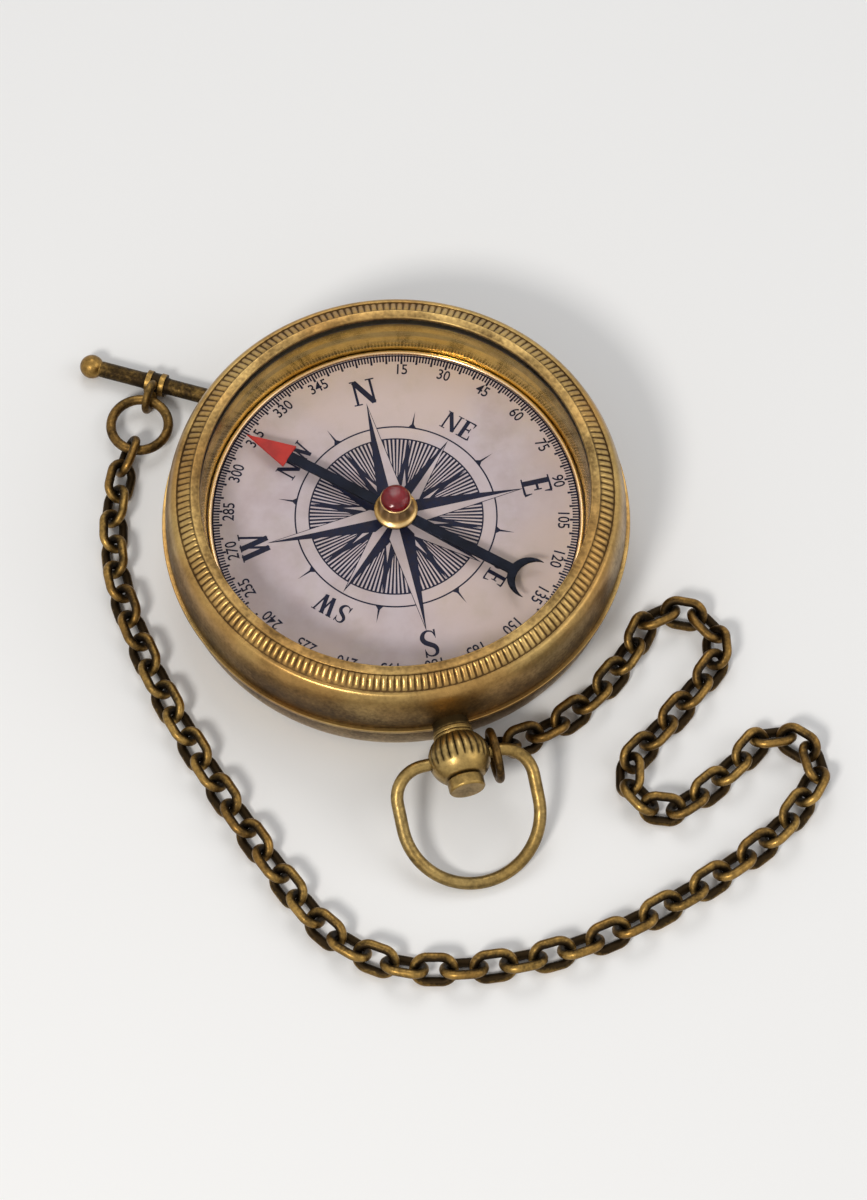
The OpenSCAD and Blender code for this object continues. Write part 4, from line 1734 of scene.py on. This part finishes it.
@dataclass
class Needle:
    """Needle, hub and bead, and the pivot that they turn on, in millimetres."""

    bearing: float = 313.0
    reach: float = 18.7
    arrow: float = 5.4
    arrow_half: float = 1.4
    blade_half: float = 0.6
    edge: float = 0.05
    edge_from_deg: float = 50.0
    paint_over: float = 0.012
    paint_beside: float = 0.02
    paint_ahead: float = 0.03
    boss: float = 2.3
    crescent_at: float = 16.4
    crescent_r: float = 2.4
    crescent_w: float = 1.0
    bore_r: float = 1.03
    bore_roof: float = 0.25
    sleeve_r: float = 1.3
    flange_r: float = 2.35
    step_r: float = 1.9
    top_r: float = 1.6
    hub_rounding: float = 0.1
    hub_turns: int = 96
    bead_r: float = 1.6
    bead_side_power: float = 0.8
    bead_top_power: float = 0.9
    bead_rows: int = 22
    bead_turns: int = 64

    def outline(self) -> list[Point]:
        """Outline of the blued needle, pointing to +Y.

        Returns:
            The outline.
        """
        base = self.reach - self.arrow
        half, r = self.blade_half, self.crescent_r
        start, join = math.asin(half / self.boss), math.asin(half / r)
        end = math.pi / 2 + math.asin(self.crescent_w / 2 / r)
        horn = math.pi - math.acos(-self.crescent_w / 2 / r)
        right = [(0.0, self.reach), (self.arrow_half, base), (half, base)]
        boss_arc = angles(start, math.pi - start, 14)
        right += [(self.boss * math.sin(a), self.boss * math.cos(a)) for a in boss_arc]
        right += [(r * math.sin(a), r * math.cos(a) - self.crescent_at) for a in angles(join, end, 12)]
        inner_at = self.crescent_at + self.crescent_w
        right += [(r * math.sin(a), r * math.cos(a) - inner_at) for a in angles(horn, 0.0, 11)[1:]]
        return right + [(-x, y) for x, y in reversed(right[1:-1])]

    def slab(self, name: str, finish: Finish, outline: Sequence[Point], levels: Point) -> bpy.types.Object:
        """Makes a slab at the needle's bearing, with a small bevel that is part of its mesh.

        Args:
            name: The piece's name.
            finish: Its finish.
            outline: Its outline, pointing to +Y.
            levels: Its lowest and highest height.

        Returns:
            The piece.
        """
        turn = Matrix.Rotation(-math.radians(self.bearing), 4, "Z")
        piece = MeshDraft().slab(outline, *levels).moved(turn).piece(name, finish)
        modifier = piece.modifiers.new("edge", "BEVEL")
        modifier.width, modifier.segments = self.edge * MM, 2
        modifier.limit_method, modifier.angle_limit = "ANGLE", math.radians(self.edge_from_deg)
        made = plain_mesh(piece)
        piece.modifiers.clear()
        piece.data = made
        return piece

    def hub(self, flange: float) -> None:
        """Builds the hub, with its flange at a height and its sleeve below it.

        Args:
            flange: Height of the flange's underside.
        """
        sleeve, top = heights("needle_hub")
        profile = [
            (0.0, top - self.bore_roof, 0.3),
            (self.bore_r, top - self.bore_roof, 0.3),
            (self.bore_r, sleeve, 0.3),
            (self.sleeve_r, sleeve, 0.3),
            (self.sleeve_r, flange, 0.2),
            (self.flange_r, flange, 0.6),
            (self.flange_r, flange + 0.2, 1.0),
            (self.flange_r - 0.08, flange + 0.32, 1.0),
            (self.step_r + 0.2, flange + 0.42, 1.0),
            (self.step_r + 0.05, flange + 0.56, 0.95),
            (self.step_r - 0.07, flange + 0.78, 0.95),
            (self.step_r - 0.15, flange + 1.08, 1.0),
            (self.step_r - 0.21, flange + 1.5, 1.0),
            (self.top_r + 0.04, flange + 1.95, 1.0),
            (self.top_r + 0.02, top - 0.3, 0.6),
            (self.top_r + 0.1, top - 0.22, 1.0),
            (self.top_r + 0.12, top - 0.1, 1.0),
            (self.top_r + 0.05, top, 0.7),
            (0.0, top, 0.3),
        ]
        rounded = soften(profile, self.hub_rounding, closed=False)
        hub = MeshDraft().lathe(rounded, self.hub_turns, closed=False)
        settle(hub.piece("hub_cap", HUB_BRASS), Body.NEEDLE, Slot.BRIGHT, "needle_hub")

    def bead(self) -> None:
        """Builds the bead on the hub, a little fuller than a half globe."""
        foot, crown = heights("needle_hub")[1], heights("hub_bead")[1]
        profile = [(0.0, foot, 1.0)]
        for a in angles(0.0, math.pi / 2, self.bead_rows)[:-1]:
            radius = self.bead_r * math.cos(a) ** self.bead_side_power
            profile.append((radius, foot + (crown - foot) * math.sin(a) ** self.bead_top_power, 1.0))
        bead = MeshDraft().lathe([*profile, (0.0, crown, 1.0)], self.bead_turns, closed=False)
        settle(bead.piece("red_bead", BEAD_RED), Body.NEEDLE, Slot.BEAD, "hub_bead")

    def build(self) -> None:
        """Builds the needle, its red point, the hub and the bead."""
        low, high = heights("needle")
        blade = self.slab("needle_blade", BLUED_STEEL, self.outline(), (low, high))
        settle(blade, Body.NEEDLE, Slot.BLUED, "needle")
        base, half = self.reach - self.arrow - self.paint_beside, self.arrow_half + self.paint_beside
        painted = [(0.0, self.reach + self.paint_ahead), (-half, base), (half, base)]
        layer = (low - self.paint_over, high + self.paint_over)
        settle(self.slab("needle_red_point", POINT_RED, painted, layer), Body.NEEDLE, Slot.BLUED)
        self.hub(high)
        self.bead()

    def dress(self) -> None:
        """Gives the jewel, the post and the pin their finishes."""
        dress("hub_jewel", JEWEL_GLASS)
        dress("pivot_post", HIDDEN_BRASS)
        dress("pivot_pin", GROUND_STEEL)


@dataclass
class Pendant:
    """Neck, fluted ball and cap, drawn along +Z and laid towards -Y, in millimetres."""

    level: float = 7.25
    start: float = 23.25
    neck_r: float = 2.15
    ball_start: float = 26.7
    ball_r: float = 3.3
    ball_end_r: float = 2.2
    ball_l: float = 4.5
    ball_rows: int = 56
    ball_smooth_deg: float = 40.0
    flutes: int = 24
    flute_depth: float = 0.2
    flute_power: float = 0.6
    flute_turns: int = 14
    belt_end: float = 0.72
    belt_power: int = 7
    hole_r: float = 0.835
    hole_depth: float = 0.6
    hole_edge: float = 0.12
    cap_r: float = 1.925
    groove_r: float = 1.65
    neck_rounding: float = 0.06
    cap_rounding: float = 0.07
    turns: int = 128

    def settled(self, name: str, draft: MeshDraft, node: str, smooth_deg: float = SMOOTH_DEG) -> None:
        """Turns a draft from +Z to -Y at the pendant's height and makes it a piece.

        Args:
            name: The piece's name.
            draft: The draft.
            node: The CAD node that the piece stands for.
            smooth_deg: Edges sharper than this in degrees stay sharp.
        """
        lay = Matrix.Translation((0, 0, self.level)) @ Matrix.Rotation(math.pi / 2, 4, "X")
        piece = draft.moved(lay).piece(name, PENDANT_BRASS, smooth_deg)
        settle(piece, Body.CASE, Slot.PENDANT, node)

    def turned(self, name: str, profile: Profile, rounding: float, node: str) -> None:
        """Turns a piece of the pendant from a profile.

        Args:
            name: The piece's name.
            profile: Radius, height and wear of each point.
            rounding: Rounding of its corners.
            node: The CAD node that the piece stands for.
        """
        rounded = soften(profile, rounding, closed=False)
        self.settled(name, MeshDraft().lathe(rounded, self.turns, closed=False), node)

    def ball(self) -> MeshDraft:
        """The ball: smooth at both ends, gadrooned round its middle, with the bow's two holes.

        Returns:
            The ball, along +Z.
        """
        turns = self.flutes * self.flute_turns
        # The side is an arc, from the radius of one end over the full radius to the other end.
        grow = self.ball_r - self.ball_end_r
        arc = (self.ball_l / 2) ** 2 / (2 * grow) + grow / 2
        rows, wear = [], []
        for i in range(self.ball_rows + 1):
            s = self.ball_l * (i / self.ball_rows - 0.5)
            radius, z = math.sqrt(arc**2 - s**2) - arc + self.ball_r, self.ball_start + self.ball_l / 2 + s
            share = (z - self.ball_start) / self.ball_l / self.belt_end
            belt = max(0.0, 1 - abs(2 * share - 1) ** self.belt_power)
            row = []
            for a in angles(0.0, FULL_TURN, turns)[:-1]:
                lobe = abs(math.sin(a * self.flutes / 2 + math.pi / 2)) ** self.flute_power
                cut = (1 - lobe) * belt
                r = radius - self.flute_depth * cut
                x, y = r * math.cos(a), r * math.sin(a)
                away = math.hypot(y, z - self.ball_start - self.ball_l / 2)
                hole = min(1.0, max(0.0, (self.hole_r - away) / self.hole_edge))
                row.append((x - math.copysign(self.hole_depth * hole, x), y, z))
                wear.append(max(0.0, 0.95 - 0.9 * cut - hole))
            rows.append(row)
        return MeshDraft().rings(rows, wear, ((rows[0][0][2], 0.2), (rows[-1][0][2], 0.2)))

    def build(self) -> None:
        """Builds neck, ball and cap."""
        r, b = self.neck_r, self.ball_start
        neck = [
            (0.0, self.start, 0.2),
            (r - 0.2, self.start, 0.2),
            (r - 0.2, b - 1.3, 0.25),
            (r - 0.13, b - 0.95, 0.7),
            (r - 0.15, b - 0.88, 0.1),
            (r, b - 0.8, 0.9),
            (r, b - 0.42, 0.9),
            (r - 0.11, b - 0.36, 0.1),
            (r, b - 0.28, 0.9),
            (r, b - 0.04, 0.8),
            (r - 0.25, b, 0.1),
            (0.0, b, 0.1),
        ]
        self.turned("neck_collar", neck, self.neck_rounding, "pendant_neck")
        self.settled("fluted_ball", self.ball(), "pendant_ball", self.ball_smooth_deg)
        end = b + self.ball_l
        cap = [
            (0.0, end, 0.2),
            (self.groove_r, end, 0.0),
            (self.groove_r, end + 0.2, 0.0),
            (self.cap_r, end + 0.24, 0.8),
            (self.cap_r, end + 1.32, 0.9),
            (self.cap_r - 0.14, end + 1.5, 1.0),
            (0.0, end + 1.5, 0.8),
        ]
        self.turned("pendant_crown", cap, self.cap_rounding, "pendant_cap")


@dataclass
class Bow:
    """The swinging bow, in its rest pose, in millimetres."""

    wire_d: float = 1.35
    sides: int = 28
    wear: float = 0.85
    pivot: Place = (0.0, -28.95, 7.25)
    end_x: float = 2.15
    stub_x: float = 4.025
    corner: float = 3.3
    side: float = 7.325
    tip: float = 13.325
    clearance: float = 0.02

    def half(self) -> list[Point]:
        """Half of the bow's middle line, from its end in the ball to its far middle.

        Returns:
            Points with X across the bow and Y away from its pivot.
        """
        r, straight = self.corner, self.tip - self.side - self.corner
        line = [(self.end_x + (self.stub_x - self.end_x) * k / 3, 0.0) for k in range(3)]
        corner = angles(-math.pi / 2, 0.0, 12)
        line += [(self.stub_x + r * math.cos(a), r + r * math.sin(a)) for a in corner]
        line += [(self.side, r + straight * k / 3) for k in (1, 2)]
        arc = angles(0.0, math.pi / 2, 22)
        line += [(self.side * math.cos(a), self.tip - self.side + self.side * math.sin(a)) for a in arc]
        return line

    def build(self) -> None:
        """Builds the bow."""
        half = self.half()
        flat = [(x, y, 0.0) for x, y in half] + [(-x, y, 0.0) for x, y in reversed(half[:-1])]
        droop = math.asin((self.pivot[2] - self.wire_d / 2 - self.clearance) / self.tip)
        turn = Matrix.Translation(self.pivot) @ Euler((-droop, 0, math.pi), "XYZ").to_matrix().to_4x4()
        line = [tuple(turn @ Vector(p)) for p in flat]
        options = {"closed": False, "sides": self.sides, "wear": self.wear}
        settle(wire("bow_wire", line, self.wire_d, PENDANT_BRASS, **options), Body.BOW, Slot.PENDANT, "bow")


@dataclass
class TBar:
    """The T-bar: an eye in the chain's end ring, and a turned bar with balls at its ends, in millimetres."""

    length: float = 17.98
    ball_r: float = 1.34
    bar_r: float = 0.9
    collar_r: float = 1.3
    eye_r: float = 1.5
    eye_wire: float = 0.9
    eye_turns: int = 48
    bar_turns: int = 40

    def build(self, ring: Vector, inner_r: float, way: float) -> None:
        """Builds the eye and the bar.

        Args:
            ring: Middle of the end ring.
            inner_r: How far from there the near side of the eye reaches, inside the ring.
            way: The chain's heading there, in radians.
        """
        ahead = Vector((math.cos(way), math.sin(way), 0.0))
        eye = ring + ahead * (inner_r - self.eye_wire / 2 + self.eye_r)
        eye.z = self.eye_r + self.eye_wire / 2
        loop = [
            tuple(eye + ahead * self.eye_r * x + Vector((0, 0, self.eye_r * y)))
            for x, y in circle(self.eye_turns)
        ]
        wire_eye = wire("t_bar_eye", loop, self.eye_wire, CHAIN_BRASS)
        middle = eye + ahead * (self.eye_r + self.collar_r / 2)
        middle.z = self.ball_r
        turn = Matrix.Translation(middle) @ Matrix.Rotation(way, 4, "Z")
        turn = turn @ Matrix.Rotation(math.pi / 2, 4, "X")
        bar = MeshDraft().lathe(self.profile(), self.bar_turns, closed=False).moved(turn)
        settle(bar.piece("t_bar_turned", CHAIN_BRASS), Body.CASE, Slot.CHAIN, "t_bar")
        settle(wire_eye, Body.CASE, Slot.CHAIN)

    def profile(self) -> Profile:
        """Lathe profile of the bar, from one end to the other.

        Returns:
            Radius, height and wear of each point.
        """
        ball, bar, collar = self.ball_r, self.bar_r, self.collar_r
        half = self.length / 2 - ball
        neck = math.asin(bar / ball * 0.97)
        upper = [
            *((ball * math.sin(a), half + ball * math.cos(a), 0.95) for a in angles(0.0, math.pi - neck, 14)),
            (bar, half - 1.2, 0.6),
            (bar, 1.6, 0.5),
            (bar + 0.1, 1.12, 0.2),
            (collar, 1.08, 0.9),
            (collar, 0.5, 0.9),
            (collar - 0.12, 0.42, 0.1),
        ]
        return upper + [(radius, -z, wear) for radius, z, wear in reversed(upper)]


@dataclass
class Chain:
    """The chain on its way round the case, laid as the CAD chain is, in millimetres."""

    wire_d: float = 1.0
    side: float = 1.4
    half: float = 2.1
    link_steps: int = 40
    link_sides: int = 12
    wear: float = 0.5
    outer_wear: float = 0.45
    ring_wear: float = 0.7
    slack: float = 0.09
    lean: float = 45.0
    last_lean: float = 62.0
    hook_deg: float = 45.0
    heading: float = 8.0
    slope: float = -28.0
    start_ring_r: float = 2.55
    start_ring_wire: float = 0.9
    end_ring_wire: float = 1.1
    ring_turns: int = 64
    clearance: float = 0.02
    landing: tuple[float, ...] = (1.0, 0.45, 0.13, 0.02)
    rising: float = 0.16
    counts: tuple[int, ...] = (1, 6, 5, 4, 4, 3, 4, 3, 5, 7, 5, 8, 5, 6)
    turns_deg: tuple[float, ...] = (4, 6.5, -38, -2, 42, 5, -42, -8, -2, -4, -10.4, -1, -2, -6)
    nodes: tuple[str, ...] = tuple(f"chain_part_{i}" for i in range(1, 7))

    def pitch(self, turn: float) -> float:
        """Distance between the middles of two links with a turn in radians between them."""
        return (self.half * (1 + math.cos(turn)) - self.wire_d - self.slack) / math.cos(turn / 2)

    def levels(self, first: float, count: int) -> list[float]:
        """Heights of the links' middles.

        Args:
            first: Height of the first one, which hangs in the joining ring.
            count: How many links there are.

        Returns:
            The heights: down to the floor, along it, and up onto the end ring.
        """
        leans = (math.radians(self.lean), math.radians(self.last_lean))
        rest, end = (self.side * math.sin(a) + self.wire_d / 2 + self.clearance for a in leans)
        made = [rest + (first - rest) * share for share in self.landing]
        made += [rest] * (count - len(made) - 2)
        return [*made, rest + (end - rest) * self.rising, end]

    def places(self) -> list[tuple[Vector, Vector]]:
        """Middle and turn of each link, in millimetres and radians.

        Returns:
            The links' middles and turns, from the joining ring on.
        """
        low, high = corners("chain_ring")
        ring = (low + high) / 2
        # The first link is caught on the joining ring's wire, hook degrees on from its lowest point.
        hook, h, s = (math.radians(a) for a in (self.hook_deg, self.heading, self.slope))
        pull = self.half - (self.wire_d + self.start_ring_wire) / 2 - self.slack
        r = self.start_ring_r
        at = Vector((ring.x, ring.y + r * math.sin(hook), ring.z - r * math.cos(hook)))
        at += pull * Vector((math.cos(s) * math.cos(h), math.cos(s) * math.sin(h), math.sin(s)))
        turns = [turn for count, turn in zip(self.counts, self.turns_deg) for _ in range(count)]
        last = len(turns)
        level = self.levels(at.z, last + 1)
        made = []
        x, y, way = at.x, at.y, self.heading
        for i in range(last + 1):
            rise = s if i == 0 else 0.0
            if 0 < i < last:
                rise = math.asin((level[i + 1] - level[i - 1]) / (2 * self.pitch(0.0)))
            lean = (self.last_lean if i == last else self.lean) * (-1 if i % 2 == 0 else 1)
            turned = Vector((math.radians(lean), -rise, math.radians(way)))
            made.append((Vector((x, y, level[i])), turned))
            if i < last:
                turn = math.radians(turns[i])
                step = math.sqrt(self.pitch(turn) ** 2 - (level[i + 1] - level[i]) ** 2)
                x += step * math.cos(math.radians(way) + turn / 2)
                y += step * math.sin(math.radians(way) + turn / 2)
                way += turns[i]
        return made

    def link(self) -> MeshDraft:
        """One oval link of round wire, with wear on its outer side.

        Returns:
            The link, flat, and long along X.
        """
        straight = self.half - self.side
        oval, section = circle(self.link_steps), circle(self.link_sides)
        line = [(x * self.side + math.copysign(straight, x), y * self.side) for x, y in oval]
        rows, r = [], self.wire_d / 2
        for k, (x, y) in enumerate(line):
            (ax, ay), (bx, by) = line[k - 1], line[(k + 1) % len(line)]
            out = Vector((by - ay, ax - bx)).normalized()
            rows.append([(x + out.x * (r * c), y + out.y * (r * c), r * s) for c, s in section])
        return MeshDraft().rings(rows, [self.wear + self.outer_wear * c for _ in line for c, _ in section])

    def links(self, places: list[tuple[Vector, Vector]]) -> None:
        """Builds all links at their places.

        Args:
            places: Middle and turn of each link.
        """
        seed = bpy.data.meshes.new("places")
        seed.from_pydata([tuple(p * MM) for p, _ in places], [], [])
        lie = seed.attributes.new("lie", "FLOAT_VECTOR", "POINT")
        lie.data.foreach_set("vector", [angle for _, turned in places for angle in turned])
        one = self.link().piece("one_link", CHAIN_BRASS)
        mesh = Trees.run(Trees.laid(), seed, CHAIN_BRASS, piece=one)
        bpy.data.objects.remove(one)
        settle(show(mesh, "chain_links", CHAIN_BRASS), Body.CASE, Slot.CHAIN, *self.nodes)

    def build(self) -> None:
        """Builds the links, both rings and the T-bar."""
        places = self.places()
        self.links(places)
        low, high = corners("chain_ring")
        middle, r = (low + high) / 2, self.start_ring_r
        loop = [(middle.x, middle.y + r * x, middle.z + r * y) for x, y in circle(self.ring_turns)]
        ring = wire("joining_ring", loop, self.start_ring_wire, CHAIN_BRASS, wear=self.ring_wear)
        settle(ring, Body.CASE, Slot.CHAIN, "chain_ring")
        low, high = corners("end_ring")
        middle, r = (low + high) / 2, (high.x - low.x - self.end_ring_wire) / 2
        loop = [(middle.x + r * x, middle.y + r * y, middle.z) for x, y in circle(self.ring_turns)]
        ring = wire("chain_end_ring", loop, self.end_ring_wire, CHAIN_BRASS)
        settle(ring, Body.CASE, Slot.CHAIN, "end_ring")
        TBar().build(middle, r - self.end_ring_wire / 2 - self.slack, places[-1][1].z)


def seen(g: Graph) -> Socket:
    """One for rays of the camera, of metal and of glass, and zero for all others.

    Args:
        g: The nodes to add to.

    Returns:
        The result's socket.
    """
    rays = g.node("ShaderNodeLightPath").outputs
    shown = g.math("MAXIMUM", rays["Is Camera Ray"], rays["Is Glossy Ray"])
    return g.math("MAXIMUM", shown, rays["Is Transmission Ray"])


@dataclass(frozen=True)
class FloorFinish(Finish):
    """Pale floor, which runs out into an even pale backdrop away from the part."""

    name: str = "pale_floor"
    white: Colour = (0.9, 0.9, 0.9)
    fades_from: float = 0.1
    fades_to: float = 0.45

    def shader(self, g: Graph) -> Socket:
        """Builds a matt floor, and even light farther out for the rays that show the backdrop.

        Args:
            g: The material's nodes.

        Returns:
            The shader's socket.
        """
        white = (*self.white, 1.0)
        inputs = {"Base Color": white, "Roughness": 0.9, "Specular IOR Level": 0.1}
        near = g.node("ShaderNodeBsdfPrincipled", inputs).outputs[0]
        away = g.node("ShaderNodeEmission", {"Color": white, "Strength": 1.0}).outputs[0]
        distance = g.node("ShaderNodeVectorMath", {0: g.object_place()}, operation="LENGTH").outputs["Value"]
        share = g.math("MULTIPLY", g.span(distance, self.fades_from, self.fades_to), seen(g))
        return g.node("ShaderNodeMixShader", {0: share, 1: near, 2: away}).outputs[0]


@dataclass(frozen=True)
class Lamp:
    """A soft round lamp that faces the part, in metres and watts."""

    name: str
    at: Place
    size: float
    power: float
    colour: Colour = (1.0, 1.0, 1.0)

    def build(self, aim: Place) -> None:
        """Adds the lamp and turns it to a point.

        Args:
            aim: The point.
        """
        light = bpy.data.lights.new(self.name, "AREA")
        light.shape, light.size, light.energy, light.color = "DISK", self.size, self.power, self.colour
        made = linked(self.name, light)
        made.location = self.at
        made.rotation_euler = (Vector(aim) - Vector(self.at)).to_track_quat("-Z", "Y").to_euler()


@dataclass
class Studio:
    """Pale floor, soft lamps and the camera; places in metres, angles in degrees."""

    azimuth: float = -13.5
    elevation: float = 64.5
    lens: float = 100.0
    sensor: float = 36.0
    clip: tuple[float, float] = (0.01, 20.0)
    aim: Place = (0.002, -0.009, 0.004)
    distance: float = 0.36
    daylight: float = 0.42
    floor_size: float = 3.0
    lamps: tuple[Lamp, ...] = (
        Lamp("key", (-0.28, -0.30, 0.42), 0.13, 1.5, (1.0, 0.97, 0.92)),
        Lamp("fill", (0.40, -0.15, 0.35), 0.4, 0.5),
        Lamp("top", (0.05, 0.35, 0.5), 0.3, 0.6),
    )

    def floor(self) -> None:
        """Builds the floor under the part."""
        size = self.floor_size
        mesh = bpy.data.meshes.new("floor")
        outline = [(-size, -size, 0), (size, -size, 0), (size, size, 0), (-size, size, 0)]
        mesh.from_pydata(outline, [], [(0, 1, 2, 3)])
        mesh.materials.append(FloorFinish().material())
        linked("floor", mesh)

    def world(self) -> None:
        """Lights the scene evenly, and shows white to the camera, to metal and to glass."""
        world = bpy.data.worlds.new("soft_daylight")
        g = Graph.emptied(world)
        light, white = (
            g.node("ShaderNodeBackground", {"Color": (1, 1, 1, 1), "Strength": strength}).outputs[0]
            for strength in (self.daylight, 1.0)
        )
        mixed = g.node("ShaderNodeMixShader", {0: seen(g), 1: light, 2: white})
        g.node("ShaderNodeOutputWorld", {0: mixed.outputs[0]})
        bpy.context.scene.world = world

    def camera(self) -> None:
        """Sets the camera at the photograph's angle on the part."""
        a, e = math.radians(self.azimuth), math.radians(self.elevation)
        back = Vector((math.sin(a) * math.cos(e), -math.cos(a) * math.cos(e), math.sin(e)))
        data = bpy.data.cameras.new("camera")
        data.lens, data.sensor_width = self.lens, self.sensor
        data.clip_start, data.clip_end = self.clip
        made = linked("camera", data)
        made.location = Vector(self.aim) + back * self.distance
        made.rotation_euler = (-back).to_track_quat("-Z", "Y").to_euler()
        bpy.context.scene.camera = made

    def build(self) -> None:
        """Builds floor, world, lamps and camera."""
        self.floor()
        self.world()
        for lamp in self.lamps:
            lamp.build(self.aim)
        self.camera()
        bpy.context.scene.view_settings.view_transform = "Standard"


def main() -> None:
    """Builds and dresses every sub-assembly in order."""
    logging.basicConfig(level=logging.INFO, format="%(name)s: %(message)s")
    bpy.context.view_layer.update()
    for part in (CaseShells(), DialFace(), CrystalAndWall(), Needle()):
        part.build()
        part.dress()
    for part in (Pendant(), Bow(), Chain(), Studio()):
        part.build()


if __name__ == "__main__":
    main()
